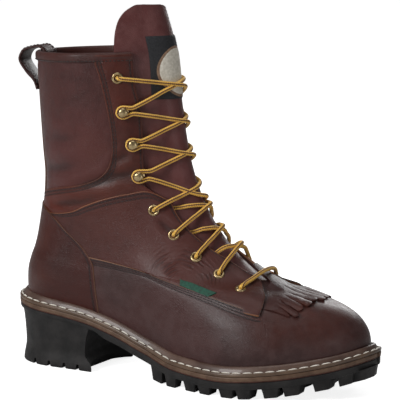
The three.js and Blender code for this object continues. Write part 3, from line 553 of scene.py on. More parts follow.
def tube(path, radius, around, up):  # a round cord along a path, with its lay at every face corner
    path = np.asarray(path, float)
    run = unit(np.gradient(path, axis=0))
    along = lengthAlong(path)
    turn = np.arange(around) * 2 * pi / around
    side = unit(up - np.sum(up * run, 1)[:, None] * run)
    other = np.cross(run, side)
    ring = np.cos(turn)[:, None] * side[:, None] + np.sin(turn)[:, None] * other[:, None]
    rows = path[:, None] + radius * ring
    faces = gridFaces(len(path), around, wrapColumns=True)
    corners = []
    for r in range(len(path) - 1):
        for c in range(around):
            corners += [(c / around, along[r]), ((c + 1) / around, along[r]),
                        ((c + 1) / around, along[r + 1]), (c / around, along[r + 1])]
    last = (len(path) - 1) * around
    faces += [tuple(range(around))[::-1], tuple(range(last, last + around))]
    corners += [(0.25, along[0])] * around + [(0.25, along[-1])] * around
    return rows.reshape(-1, 3), faces, corners


def leatherFrame(angle, level, lift):
    origin = leather(angle, level, lift)
    out = outward(angle, level)
    rise = unit(ringPoint(angle, level + 0.01) - ringPoint(angle, level - 0.01))
    rise = unit(rise - np.dot(rise, out) * out)
    return origin, np.cross(rise, out), rise, out


print("meshes ready")


def objectPlace(tree):
    return tree.nodes.new("ShaderNodeTexCoord").outputs["Object"]


def meshMark(tree, name):  # a value left in the mesh, point by point
    node = tree.nodes.new("ShaderNodeAttribute")
    node.attribute_name = name
    return node.outputs["Fac"]


def vectorNode(tree, operation, *sources):
    node = tree.nodes.new("ShaderNodeVectorMath")
    node.operation = operation
    for i, source in enumerate(sources):
        if isinstance(source, tuple):
            node.inputs[i].default_value = source
        else:
            tree.links.new(source, node.inputs[i])
    return node.outputs["Value" if operation == "DISTANCE" else "Vector"]


def mathNode(tree, operation, *sources):
    node = tree.nodes.new("ShaderNodeMath")
    node.operation = operation
    for i, source in enumerate(sources):
        if isinstance(source, (int, float)):
            node.inputs[i].default_value = source
        else:
            tree.links.new(source, node.inputs[i])
    return node.outputs[0]


def mixColor(tree, factor, a, b):
    node = tree.nodes.new("ShaderNodeMix")
    node.data_type = "RGBA"
    for socket, source in ((node.inputs[0], factor), (node.inputs[6], a), (node.inputs[7], b)):
        if isinstance(source, (int, float)):
            socket.default_value = source
        elif isinstance(source, tuple):
            socket.default_value = (*source, 1)
        else:
            tree.links.new(source, socket)
    return node.outputs[2]


def ramp(tree, source, low, high, outLow=0.0, outHigh=1.0):
    node = tree.nodes.new("ShaderNodeMapRange")
    node.interpolation_type = "SMOOTHSTEP"
    for i, value in enumerate((low, high, outLow, outHigh)):
        node.inputs[i + 1].default_value = value
    tree.links.new(source, node.inputs[0])
    return node.outputs[0]


def newGroup(name, inputs, outputs):
    tree = bpy.data.node_groups.new(name, "ShaderNodeTree")
    for label, kind, value in inputs:
        socket = tree.interface.new_socket(name=label, in_out="INPUT", socket_type="NodeSocket" + kind)
        socket.default_value = value
    for label, kind in outputs:
        tree.interface.new_socket(name=label, in_out="OUTPUT", socket_type="NodeSocket" + kind)
    return tree, tree.nodes.new("NodeGroupInput"), tree.nodes.new("NodeGroupOutput")


def noise(tree, place, scale, detail=4.0, roughness=0.55, distortion=0.0):
    node = tree.nodes.new("ShaderNodeTexNoise")
    tree.links.new(place, node.inputs["Vector"])
    if isinstance(scale, (int, float)):
        node.inputs["Scale"].default_value = scale
    else:
        tree.links.new(scale, node.inputs["Scale"])
    node.inputs["Detail"].default_value = detail
    node.inputs["Roughness"].default_value = roughness
    node.inputs["Distortion"].default_value = distortion
    return node.outputs["Fac"]


def makeGrainGroup():  # fine pebbled grain, with longer stretch lines through it
    tree, given, out = newGroup("leather grain", [
        ("Grain Scale", "Float", 900.0), ("Line Amount", "Float", 0.4)], [("Height", "Float")])
    place = objectPlace(tree)
    cells = tree.nodes.new("ShaderNodeTexVoronoi")
    cells.feature = "DISTANCE_TO_EDGE"
    warp = noise(tree, place, 240.0, 2.0)
    shifted = vectorNode(tree, "MULTIPLY_ADD", warp, (0.0022, 0.0022, 0.0022), place)
    tree.links.new(shifted, cells.inputs["Vector"])
    tree.links.new(given.outputs["Grain Scale"], cells.inputs["Scale"])
    pebble = ramp(tree, cells.outputs["Distance"], 0.0, 0.22)
    stretched = tree.nodes.new("ShaderNodeMapping")
    stretched.inputs["Scale"].default_value = (90, 160, 620)
    tree.links.new(place, stretched.inputs["Vector"])
    lines = noise(tree, stretched.outputs[0], 1.0, 3.0, 0.6, 0.6)
    lines = mathNode(tree, "MULTIPLY", lines, given.outputs["Line Amount"])
    fine = noise(tree, place, 2600.0, 2.0)
    height = mathNode(tree, "ADD", mathNode(tree, "MULTIPLY", pebble, 0.7), lines)
    height = mathNode(tree, "ADD", height, mathNode(tree, "MULTIPLY", fine, 0.25))
    tree.links.new(height, out.inputs["Height"])
    return tree


def makeToneGroup():  # broad and middling unevenness of oiled leather
    tree, given, out = newGroup("oiled tone", [
        ("Patch Scale", "Float", 14.0), ("Seed", "Float", 0.0)], [("Patches", "Float"), ("Mottle", "Float")])
    place = objectPlace(tree)
    moved = vectorNode(tree, "ADD", place, given.outputs["Seed"])
    broad = noise(tree, moved, given.outputs["Patch Scale"], 3.0, 0.5, 0.4)
    tree.links.new(ramp(tree, broad, 0.35, 0.68), out.inputs["Patches"])
    small = noise(tree, moved, 110.0, 4.0, 0.6)
    tree.links.new(ramp(tree, small, 0.3, 0.7), out.inputs["Mottle"])
    return tree


def makeEdgeGroup():  # cut edges and stitch channels, from the marks left in the meshes
    tree, given, out = newGroup("edges and seams", [
        ("Edge Width", "Float", 0.5), ("Seam Width", "Float", 0.9)],
        [("Cut Edge", "Float"), ("Channel", "Float")])
    edge = mathNode(tree, "DIVIDE", meshMark(tree, "rim"), given.outputs["Edge Width"])
    tree.links.new(ramp(tree, edge, 0.4, 1.2, 1.0, 0.0), out.inputs["Cut Edge"])
    channel = mathNode(tree, "DIVIDE", meshMark(tree, "seam"), given.outputs["Seam Width"])
    tree.links.new(ramp(tree, channel, 0.3, 1.2, 1.0, 0.0), out.inputs["Channel"])
    return tree


def makeFlexGroup():  # fine creases curved round the place where the foot bends, on both sides
    tree, given, out = newGroup("flex creases", [
        ("Centre", "Vector", (0.121, 0.046, 0.08)), ("Pitch", "Float", 0.0034), ("Reach", "Float", 0.04)],
        [("Height", "Float"), ("Mask", "Float")])
    place = objectPlace(tree)
    warp = noise(tree, place, 45.0, 3.0, 0.6)
    far = vectorNode(tree, "DISTANCE", vectorNode(tree, "ABSOLUTE", place), given.outputs["Centre"])
    turns = mathNode(tree, "DIVIDE", mathNode(tree, "MULTIPLY", far, 2 * pi), given.outputs["Pitch"])
    wave = mathNode(tree, "SINE", mathNode(tree, "ADD", turns, mathNode(tree, "MULTIPLY", warp, 16.0)))
    inside = mathNode(tree, "SUBTRACT", 1.0, ramp(tree, mathNode(
        tree, "DIVIDE", far, given.outputs["Reach"]), 0.55, 1.0))
    patches = ramp(tree, noise(tree, place, 70.0, 2.0), 0.38, 0.62)
    mask = mathNode(tree, "MULTIPLY", ramp(tree, far, 0.008, 0.016), inside)
    mask = mathNode(tree, "MULTIPLY", mask, patches)
    tree.links.new(mathNode(tree, "MULTIPLY", wave, mask), out.inputs["Height"])
    tree.links.new(mask, out.inputs["Mask"])
    return tree


def makeFoldShadeWearGroup():  # painted shade in the fold troughs, painted highlight on the fold ridges, and pulled-up oil, from the marks left in the meshes
    tree, given, out = newGroup("fold shade and pull-up wear", [("Fold Depth", "Float", 1.0)], [
        ("Trough Shade", "Float"), ("Ridge Highlight", "Float"), ("Warmth", "Float")])
    place = objectPlace(tree)
    depth = mathNode(tree, "DIVIDE", meshMark(tree, "fold"), given.outputs["Fold Depth"])
    tree.links.new(ramp(tree, depth, -0.1, -0.9, 0.0, 1.0), out.inputs["Trough Shade"])
    tree.links.new(ramp(tree, depth, 0.05, 0.4, 0.0, 1.0), out.inputs["Ridge Highlight"])
    broken = ramp(tree, noise(tree, place, 60.0, 4.0, 0.65), 0.3, 0.7)
    tree.links.new(mathNode(tree, "MULTIPLY", meshMark(tree, "warm"), mathNode(
        tree, "ADD", mathNode(tree, "MULTIPLY", broken, 0.6), 0.4)), out.inputs["Warmth"])
    return tree


grainGroup, toneGroup, edgeGroup = makeGrainGroup(), makeToneGroup(), makeEdgeGroup()
flexGroup, foldShadeWearGroup = makeFlexGroup(), makeFoldShadeWearGroup()


def startMaterial(name, roughness=0.5, **constants):
    material = bpy.data.materials.new(name)
    material.use_nodes = True
    tree = material.node_tree
    shader = tree.nodes["Principled BSDF"]
    shader.inputs["Roughness"].default_value = roughness
    for key, value in constants.items():
        shader.inputs[key.replace("_", " ")].default_value = value
    return material, tree, shader


def useGroup(tree, group, **values):
    node = tree.nodes.new("ShaderNodeGroup")
    node.node_tree = group
    for key, value in values.items():
        node.inputs[key.replace("_", " ")].default_value = value
    return node


def bump(tree, shader, height, strength, distance, over=None):
    node = tree.nodes.new("ShaderNodeBump")
    node.inputs["Strength"].default_value = strength
    node.inputs["Distance"].default_value = distance
    tree.links.new(height, node.inputs["Height"])
    if over:
        tree.links.new(over, node.inputs["Normal"])
    tree.links.new(node.outputs[0], shader.inputs["Normal"])
    return node.outputs[0]


pulledRed = (0.075, 0.017, 0.010)  # where the oil is pulled up by bending


def leatherMaterial(name, look):
    material, tree, shader = startMaterial(name, look["rough"], Coat_Weight=look.get("coat", 0.1),
                                           Coat_Roughness=0.25, Specular_IOR_Level=0.26)
    tone = useGroup(tree, toneGroup, Patch_Scale=14.0, Seed=look["seed"])
    grain = useGroup(tree, grainGroup, Grain_Scale=900.0, Line_Amount=look.get("lines", 0.4))
    marks = useGroup(tree, edgeGroup, Edge_Width=look.get("edgeWidth", 0.55))
    wear = useGroup(tree, foldShadeWearGroup)
    color = mixColor(tree, tone.outputs["Patches"], look["dark"], look["warm"])
    color = mixColor(tree, mathNode(tree, "MULTIPLY", tone.outputs["Mottle"], 0.35), color, look["pale"])
    color = mixColor(tree, mathNode(tree, "MULTIPLY", wear.outputs["Warmth"], 0.75), color, pulledRed)
    # painted shade in the fold troughs and painted highlight on the fold ridges
    color = mixColor(tree, mathNode(tree, "MULTIPLY", wear.outputs["Trough Shade"], 0.6), color, look["deep"])
    color = mixColor(tree, mathNode(tree, "MULTIPLY", wear.outputs["Ridge Highlight"], 0.3), color, look["pale"])
    color = mixColor(tree, mathNode(tree, "MULTIPLY", marks.outputs["Channel"], 0.75), color, look["deep"])
    color = mixColor(tree, mathNode(tree, "MULTIPLY", marks.outputs["Cut Edge"], look.get("edgeAmount", 0.6)),
                     color, look["edge"])
    rough = mathNode(tree, "MULTIPLY", tone.outputs["Mottle"], 0.14)
    rough = mathNode(tree, "ADD", rough, look["rough"] - 0.07)
    rough = mathNode(tree, "ADD", rough, mathNode(tree, "MULTIPLY", marks.outputs["Channel"], 0.2))
    tree.links.new(rough, shader.inputs["Roughness"])
    normal = bump(tree, shader, grain.outputs["Height"], 0.35, 0.00035)
    if look.get("flex"):
        flex = useGroup(tree, flexGroup)
        # painted shade: the troughs of the fine flex creases are darkened towards the deep colour
        dark = ramp(tree, flex.outputs["Height"], -0.1, -0.8)
        color = mixColor(tree, mathNode(tree, "MULTIPLY", dark, look["flex"] * 0.5), color, look["deep"])
        bump(tree, shader, flex.outputs["Height"], look["flex"], 0.0006, normal)
    tree.links.new(color, shader.inputs["Base Color"])
    return material


leatherLooks = {
    "shaft": {"dark": (0.0406, 0.0101, 0.0089), "warm": (0.0764, 0.0179, 0.0155),
              "pale": (0.0975, 0.0292, 0.0266), "deep": (0.014, 0.005, 0.005),
              "edge": (0.14, 0.055, 0.04), "rough": 0.42, "seed": 1.0, "lines": 0.6},
    "quarter": {"dark": (0.0373, 0.0099, 0.0076), "warm": (0.0699, 0.0164, 0.0121),
                "pale": (0.0894, 0.0273, 0.0222), "deep": (0.013, 0.005, 0.005),
                "edge": (0.3, 0.13, 0.06), "rough": 0.42, "seed": 4.0, "lines": 0.8, "flex": 0.8,
                "edgeWidth": 0.8, "edgeAmount": 0.8},
    "band": {"dark": (0.04, 0.0066, 0.0034), "warm": (0.096, 0.014, 0.0068),
             "pale": (0.096, 0.0211, 0.0122), "deep": (0.014, 0.005, 0.004), "edge": (0.16, 0.07, 0.04),
             "rough": 0.38, "seed": 7.0, "lines": 0.5},
    "vamp": {"dark": (0.0333, 0.0142, 0.0133), "warm": (0.0536, 0.0191, 0.0175),
             "pale": (0.0924, 0.0533, 0.0516), "deep": (0.013, 0.007, 0.007), "edge": (0.3, 0.16, 0.09),
             "rough": 0.4, "seed": 2.5, "lines": 0.2, "edgeWidth": 0.9, "edgeAmount": 0.85},
    "counter": {"dark": (0.0301, 0.006, 0.0044), "warm": (0.0479, 0.0086, 0.0059),
                "pale": (0.0581, 0.0154, 0.0122), "deep": (0.013, 0.005, 0.005), "edge": (0.2, 0.1, 0.06),
                "rough": 0.38, "seed": 9.0, "lines": 0.2},
    "kiltie": {"dark": (0.0211, 0.0067, 0.0062), "warm": (0.0341, 0.0099, 0.0088),
               "pale": (0.0527, 0.0203, 0.0185), "deep": (0.012, 0.006, 0.006),
               "edge": (0.09, 0.045, 0.035), "rough": 0.44, "seed": 5.5},
    "tongue": {"dark": (0.0698, 0.022, 0.0212), "warm": (0.109, 0.0308, 0.0286),
               "pale": (0.178, 0.0748, 0.0719), "deep": (0.014, 0.007, 0.007),
               "edge": (0.12, 0.06, 0.045), "rough": 0.4, "seed": 11.0},
    "trim": {"dark": (0.0308, 0.0095, 0.0079), "warm": (0.056, 0.0157, 0.0121),
             "pale": (0.07, 0.0251, 0.0211), "deep": (0.014, 0.006, 0.005), "edge": (0.13, 0.06, 0.04),
             "rough": 0.42, "seed": 13.0},
    "lining": {"dark": (0.022, 0.010, 0.008), "warm": (0.034, 0.015, 0.012), "pale": (0.045, 0.024, 0.02),
               "deep": (0.014, 0.007, 0.006), "edge": (0.08, 0.05, 0.035), "rough": 0.7, "seed": 15.0,
               "coat": 0.0},
    "insole": {"dark": (0.12, 0.075, 0.045), "warm": (0.16, 0.1, 0.06), "pale": (0.2, 0.13, 0.09),
               "deep": (0.08, 0.05, 0.03), "edge": (0.2, 0.14, 0.09), "rough": 0.75, "seed": 17.0,
               "coat": 0.0}}
skins = {name: leatherMaterial("leather " + name, look) for name, look in leatherLooks.items()}


def plainMaterial(name, dark, light, roughness, scale, bumpAmount, **constants):
    material, tree, shader = startMaterial(name, roughness, **constants)
    place = objectPlace(tree)
    spread = noise(tree, place, scale, 5.0)
    tree.links.new(mixColor(tree, ramp(tree, spread, 0.3, 0.7), dark, light), shader.inputs["Base Color"])
    wear = noise(tree, place, scale * 2.3, 3.0)
    tree.links.new(ramp(tree, wear, 0.2, 0.8, roughness - 0.07, roughness + 0.07), shader.inputs["Roughness"])
    bump(tree, shader, noise(tree, place, scale * 6, 4.0), bumpAmount, 0.0003)
    return material


rubber = plainMaterial("rubber", (0.011, 0.0105, 0.0105), (0.024, 0.022, 0.0215), 0.55, 90.0, 0.2,
                       Specular_IOR_Level=0.25)
thread = plainMaterial("seam thread", (0.010, 0.005, 0.005), (0.024, 0.012, 0.010), 0.6, 900.0, 0.3)
weltThread = plainMaterial("welt thread", (0.62, 0.57, 0.49), (0.85, 0.81, 0.73), 0.8, 900.0, 0.5)
brass = plainMaterial("brass", (0.36, 0.26, 0.13), (0.52, 0.4, 0.22), 0.28, 300.0, 0.08, Metallic=1.0)
patchSkin = plainMaterial("label cloth", (0.006, 0.006, 0.008), (0.016, 0.016, 0.019), 0.7, 700.0, 0.4)
ovalSkin = plainMaterial("label oval", (0.5, 0.46, 0.38), (0.66, 0.62, 0.54), 0.65, 500.0, 0.2)
labelRingSkin = plainMaterial("label ring", (0.16, 0.09, 0.05), (0.26, 0.16, 0.1), 0.65, 500.0, 0.2)
tagSkin = plainMaterial("tag cloth", (0.003, 0.035, 0.022), (0.007, 0.085, 0.048), 0.7, 700.0, 0.4)
# painted shade: a near-black material for the discs that fill the eyelet holes
holeShadeSkin = plainMaterial("painted hole shade", (0.006, 0.004, 0.004), (0.012, 0.008, 0.008), 0.8, 200.0, 0.1)


def weltMaterial():  # greyish brown bead above, tan edge below
    material, tree, shader = startMaterial("welt leather", 0.42, Specular_IOR_Level=0.4, Coat_Weight=0.15)
    place = objectPlace(tree)
    spread = ramp(tree, noise(tree, place, 60.0, 5.0), 0.3, 0.7)
    upper = mixColor(tree, spread, (0.06, 0.03, 0.021), (0.12, 0.072, 0.054))
    lower = mixColor(tree, spread, (0.068, 0.038, 0.022), (0.125, 0.077, 0.047))
    tree.links.new(mixColor(tree, meshMark(tree, "bead"), lower, upper), shader.inputs["Base Color"])
    bump(tree, shader, noise(tree, place, 700.0, 4.0), 0.25, 0.0003)
    return material


weltSkin = weltMaterial()


def midsoleMaterial():  # tan edge over a thin red-brown line
    material, tree, shader = startMaterial("midsole edge", 0.5, Specular_IOR_Level=0.35)
    place = objectPlace(tree)
    spread = ramp(tree, noise(tree, place, 150.0, 5.0), 0.3, 0.7)
    edge = mixColor(tree, spread, (0.08, 0.042, 0.024), (0.14, 0.082, 0.05))
    red = mixColor(tree, spread, (0.05, 0.016, 0.011), (0.09, 0.028, 0.018))
    tree.links.new(mixColor(tree, meshMark(tree, "line"), edge, red), shader.inputs["Base Color"])
    bump(tree, shader, noise(tree, place, 900.0, 4.0), 0.3, 0.0003)
    return material


midsoleSkin = midsoleMaterial()


def laceMaterial():
    material, tree, shader = startMaterial("lace", 0.7, Sheen_Weight=0.2)
    uv = tree.nodes.new("ShaderNodeTexCoord").outputs["UV"]
    parts = tree.nodes.new("ShaderNodeSeparateXYZ")
    tree.links.new(uv, parts.inputs[0])
    u, v = parts.outputs[0], parts.outputs[1]
    half = mathNode(tree, "ABSOLUTE", mathNode(tree, "SUBTRACT", mathNode(tree, "FRACT", mathNode(
        tree, "MULTIPLY", u, 2.0)), 0.5))
    stripe = ramp(tree, half, 0.36, 0.43)
    twist = mathNode(tree, "SINE", mathNode(tree, "ADD", mathNode(tree, "MULTIPLY", v, 3.6),
                                            mathNode(tree, "MULTIPLY", u, 4 * pi)))
    counterTwist = mathNode(tree, "SINE", mathNode(tree, "SUBTRACT", mathNode(tree, "MULTIPLY", v, 3.6),
                                                   mathNode(tree, "MULTIPLY", u, 4 * pi)))
    braid = mathNode(tree, "ADD", twist, counterTwist)
    shade = ramp(tree, braid, -1.6, 1.2)
    yellow = mixColor(tree, shade, (0.52, 0.26, 0.03), (0.88, 0.53, 0.09))
    brown = mixColor(tree, shade, (0.07, 0.022, 0.008), (0.16, 0.055, 0.018))
    tree.links.new(mixColor(tree, stripe, yellow, brown), shader.inputs["Base Color"])
    bump(tree, shader, braid, 0.4, 0.0002)
    return material


laceSkin = laceMaterial()
print("materials ready")


def mirrored(line, sign):
    return np.asarray(line) * [sign, 1]


def shellEdge(level):  # angle of the upper's own edge: closed round the toe, open at the throat
    return np.where(level < 0.385, pi, np.where(level < 0.405, 2.745 + (pi - 2.745) * (0.405 - level) / 0.02,
                                                throatAngle(level))) - np.where(level < 0.385, 0, 0.02)


def makeUpper():
    levels = np.linspace(-0.05, 1.0, 120)
    u = np.linspace(-1, 1, 170)
    L, U = np.meshgrid(levels, u, indexing="ij")
    A = U * shellEdge(L)
    outer = leather(A, L, np.zeros_like(A))
    inner = leather(A, L, np.full_like(A, -boot["wall"]))
    points, faces, kinds = slabSkin(outer, inner, 0.4)
    makePiece("upper_shell", points, faces, [skins["shaft"], skins["lining"]], ["upper"],
              faceMaterials=kinds, marks=noEdges(points))


frontRise = {"height": 2.3, "reach": 17.0}


def frontRaise(angle, level):  # the quarter's front rises over the kiltie
    front = smoothLine(seams["quarterFront"], 40)
    ref = ringPoint(-front[:, 0], front[:, 1])[:, [0, 2]]
    here = ringPoint(-np.arccos(np.cos(angle)), level)[..., [0, 2]]
    gap = np.min(np.linalg.norm(here[..., None, :] - ref, axis=-1), axis=-1)
    return frontRise["height"] * (1 - smooth(gap / frontRise["reach"]))


panelLift = boot["fit"] + boot["overlay"]
bothSides = (("outer", -1), ("inner", 1))


def makeQuarters():
    top = smoothLine([(0.32, 0.455)] + seams["quarterTop"], 80)
    front = joinLines(smoothLine(seams["throatLow"], 40), smoothLine(seams["quarterFront"], 40))
    bottom = smoothLine([(a, l - 0.02) for a, l in seams["vampTop"]][::-1] + [(0.95, 0.30)], 80)
    bottom[0] = front[-1]
    rear = smoothLine([(0.32, 0.455), (0.62, 0.45), (0.85, 0.40), (0.98, 0.345), (0.95, 0.30)], 40)
    look = {"lift": panelLift, "cell": 1.8, "raise": frontRaise,
            "sides": {"low": (lambda t: -1.0 * smooth((0.93 - t) / 0.08), 7), "left": (-0.8, 8)},
            "stitches": [("high", 2.0, 0.02, 0.985), ("high", 4.6, 0.02, 0.985), ("right", 2.2, 0.50, 0.995),
                         ("right", 2.2, 0.0, 0.46)]}
    for name, sign in bothSides:
        sides = [mirrored(line, sign) for line in (bottom[::-1], top, rear[::-1], front[::-1])]
        layPanel("quarter_" + name, sides, look, skins["quarter"], ["quarter_" + name])


def makeBands():
    inner = smoothLine(seams["panel"], 100)
    outer = joinLines(smoothLine([(2.211, 1.0)] + seams["throatTop"][1:] + [(2.2, 0.64)], 50),
                      smoothLine([(2.2, 0.628), (2.05, 0.628), (1.815, 0.616), (1.514, 0.59), (1.259, 0.556),
                                  (1.001, 0.51), (0.825, 0.488), (0.6, 0.478), (0.2, 0.475)], 51))
    startCap = np.linspace(inner[0], outer[0], 12)
    endCap = np.linspace(inner[-1], outer[-1], 12)
    look = {"lift": panelLift - 0.2, "cell": 2.0,
            "sides": {"high": (lambda t: -0.9 * smooth((t - 0.5) / 0.06), 7)},
            "stitches": [("low", 2.2, 0.01, 0.99), ("low", 4.8, 0.01, 0.99), ("high", 2.4, 0.02, 0.47)]}
    for name, sign in bothSides:
        sides = [mirrored(line, sign) for line in (inner, outer, startCap, endCap)]
        layPanel("eyestay_" + name, sides, look, skins["band"], ["eyestay_" + name])


def makeVamp():
    side = smoothLine(seams["vampTop"], 60)
    under = smoothLine([(2.235, 0.26), (2.4, 0.345), (2.75, 0.41), (pi, 0.415)], 40)
    half = joinLines(side, under)
    whole = np.concatenate([half, ((2 * pi, 0) + mirrored(half, -1))[::-1][1:]])
    levels = np.full(len(whole), -0.045)
    low = np.stack([np.linspace(whole[0, 0], whole[-1, 0], len(whole)), levels], 1)
    # keep the columns upright: the same angles above and below
    low[:, 0] = whole[:, 0]
    left = np.linspace(low[0], whole[0], 20)
    right = np.linspace(low[-1], whole[-1], 20)
    share = 60 / len(whole)

    def topLift(t):
        t = np.minimum(t, 1 - t)
        return 0.75 - 1.6 * smooth((t - share * 0.97) / (share * 0.06))
    look = {"lift": panelLift, "cell": 1.9,
            "sides": {"high": (topLift, 9), "left": (-0.8, 8), "right": (-0.8, 8)},
            "stitches": [("high", inset, start, end) for inset in (2.4, 5.2, 8.0)
                         for start, end in ((0.01, share * 0.98), (1 - share * 0.98, 0.99))]}
    layPanel("vamp", (low, whole, left, right), look, skins["vamp"], ["vamp"])


def makeCounter():
    edge = smoothLine(seams["counter"], 60)
    left = mirrored(edge[::-1], -1)
    right = edge[::-1]
    low = np.linspace(left[0], right[0], 60)
    high = smoothLine([left[-1], (-0.25, 0.512), (0.0, 0.515), (0.25, 0.512), right[-1]], 60)
    look = {"lift": boot["fit"] + boot["counter"], "cell": 2.0, "round": 1.1,
            "sides": {"left": (0.5, 5), "right": (0.5, 5)},
            "stitches": [("left", 2.6, 0.03, 0.99), ("right", 2.6, 0.03, 0.99), ("high", 2.6, 0.02, 0.98)]}
    layPanel("heel_counter", (low, high, left, right), look, skins["counter"], ["counter"])


def angleForWidth(level, y):
    widest = np.full_like(level, 1.2)
    return halve(np.zeros_like(level), widest, lambda angle: ringPoint(angle, level)[..., 1] < y)


def makeBackStay():
    levels = np.linspace(0.50, 0.965, 40)
    reach = angleForWidth(levels, 10.5)
    left = np.stack([-reach, levels], 1)
    right = np.stack([reach, levels], 1)
    look = {"lift": panelLift, "cell": 1.8,
            "stitches": [("left", 2.0, 0.01, 0.99), ("right", 2.0, 0.01, 0.99)]}
    low, high = np.linspace(left[0], right[0], 20), np.linspace(left[-1], right[-1], 20)
    layPanel("back_stay", (low, high, left, right), look, skins["trim"], ["back_stay"])


bindingProfile = [(0.3, -5.6), (1.0, -5.8), (1.35, -5.4), (1.55, -4.6), (1.65, -2.8), (1.55, -0.8),
                  (1.25, 0.4), (0.6, 1.2), (-0.4, 1.6), (-1.5, 1.5), (-2.4, 0.9), (-2.95, -0.3),
                  (-3.05, -3.0), (-3.0, -7.6), (-2.7, -8.0), (-2.3, -8.0)]


def makeBinding():
    edge = float(shellEdge(np.array(0.995))) + 0.02
    angles = np.linspace(-edge, edge, 150)
    rise = (ringPoint(angles, 1.0)[:, 2] - ringPoint(angles, 0.95)[:, 2]) / 0.05
    rows = [leather(angles, 1 + up / rise, np.full_like(angles, lift)) for lift, up in bindingProfile]
    rows = np.array(rows).transpose(1, 0, 2)
    points, faces = closedSkin(rows)
    makePiece("collar_binding", points, faces, skins["trim"], ["collar_binding"],
              marks=noEdges(points))
    level = 1 - 4.9 / rise
    stitchWork.append((leather(angles, level, np.full_like(angles, 1.62)), outward(angles, level)))


# A strap's way from the back stay up over the rim, from its foot and then from the rim
pullLoop = {"width": 18.0, "thick": 2.2,
            "fromFoot": [(0, 0), (-2.5, 6), (-10.5, 14), (-16.5, 24)],
            "fromRim": [(-11, 0), (-3, 3.2), (3.8, 4.2), (8.3, 1.4), (9, -10)]}


def makePullLoop():
    foot = ringPoint(0.0, 0.89) + outward(0.0, 0.89) * (panelLift + boot["fit"] + pullLoop["thick"] / 2)
    rim = ringPoint(0.0, 1.0) + outward(0.0, 1.0) * 3.5
    path = np.concatenate([foot + [(x, 0, z) for x, z in pullLoop["fromFoot"]],
                           rim + [(x, 0, z) for x, z in pullLoop["fromRim"]]]) * [1, 0, 1]
    path = smoothLine(path, 70)
    run = unit(np.gradient(path, axis=0))
    face = np.stack([-run[:, 2], run[:, 1] * 0, run[:, 0]], 1)
    half = pullLoop["width"] / 2
    section = [(1.1, 0.8 - half), (1.15, -half / 2), (1.15, half / 2), (1.1, half - 0.8), (0.7, half),
               (-0.7, half), (-1.1, half - 0.8), (-1.15, 0.0), (-1.1, 0.8 - half), (-0.7, -half),
               (0.7, -half)]
    rows = [[p + f * (o * pullLoop["thick"] / 2.3) + np.array([0, y, 0]) for o, y in section]
            for p, f in zip(path, face)]
    points, faces = closedSkin(rows)
    makePiece("pull_loop", points, faces, skins["trim"], ["pull_loop"], marks=noEdges(points))
    for y in (-half + 2, half - 2):
        stitchWork.append((path[3:-6] + face[3:-6] * 1.2 + [0, y, 0], face[3:-6]))


tongueHalf = curveThrough(
    [0.28, 0.39, 0.43, 0.48, 0.52, 0.57, 0.63, 0.70, 0.80, 0.89, 0.985, 1.04, 1.09, 1.125, 1.145, 1.155],
    [0.72, 0.66, 0.77, 0.87, 1.0, 1.09, 1.2, 1.24, 1.21, 1.18, 1.14, 1.1, 1.02, 0.9, 0.74, 0.58])
tongueOut = -boot["wall"] - boot["fit"] - 0.1
tongue = {"thick": 3.0, "foot": 0.33, "shoulder": 1.08, "top": 0.068, "puff": 0.35}


def makeTongue():
    rounding = np.sin(np.linspace(0, pi / 2, 16)[1:])
    levels = np.concatenate([np.linspace(tongue["foot"], tongue["shoulder"], 90),
                             tongue["shoulder"] + tongue["top"] * rounding])
    u = np.linspace(-1, 1, 70)
    L, U = np.meshgrid(levels, u, indexing="ij")
    A = pi + U * tongueHalf(L)
    # its top edge sinks a little at the front and on the inner side
    L = L - smooth((L - 1.04) / 0.1) * (0.004 * (1 - U ** 2) + 0.013 * smooth((0.15 - U) / 0.8))
    puff = tongue["puff"] * (1 - U ** 4)
    outer = leather(A, L, tongueOut + puff - 0.2)
    inner = leather(A, L, np.full_like(A, tongueOut - tongue["thick"]))
    points, faces, kinds = slabSkin(outer, inner, 0.8)
    makePiece("tongue", points, faces, [skins["tongue"], skins["lining"]], ["tongue"],
              faceMaterials=kinds, marks=noEdges(points))


def frontPlace(across, level):  # a place on the tongue's front, by its distance to the side
    side = np.sign(across + 1e-9)

    def inside(turned):
        return np.abs(ringPoint(pi + side * turned, level)[..., 1]) < np.abs(across)
    return pi - side * halve(np.zeros_like(across), np.full_like(across, 1.5), inside)


def layOnTongue(name, halfWidth, lowLevel, highLevel, lift, thickness, material, nodes, oval=False):
    u, v = np.linspace(-1, 1, 41), np.linspace(-1, 1, 41)
    V, U = np.meshgrid(v, u, indexing="ij")
    if oval:
        radius = np.maximum(np.abs(U), np.abs(V))
        angle = np.arctan2(V, U)
        U, V = radius * np.cos(angle), radius * np.sin(angle)
    y = U * halfWidth
    level = (lowLevel + highLevel) / 2 + V * (highLevel - lowLevel) / 2
    angle = frontPlace(y, level)
    inside = 1 - np.hypot(U, V) if oval else np.minimum(1 - np.abs(U), 1 - np.abs(V))
    top = leather(angle, level, lift + thickness * (0.4 + 0.6 * smooth(inside * halfWidth / 0.6)))
    under = leather(angle, level, np.full_like(angle, lift - 0.3))
    points, faces, kinds = slabSkin(top, under, 0.05)
    if not facesOut(points, faces[:10], ringPoint(pi / 2, 0.9) * [1, 0, 1]):
        faces = [f[::-1] for f in faces]
    makePiece(name, points, faces, material, nodes, marks=noEdges(points))


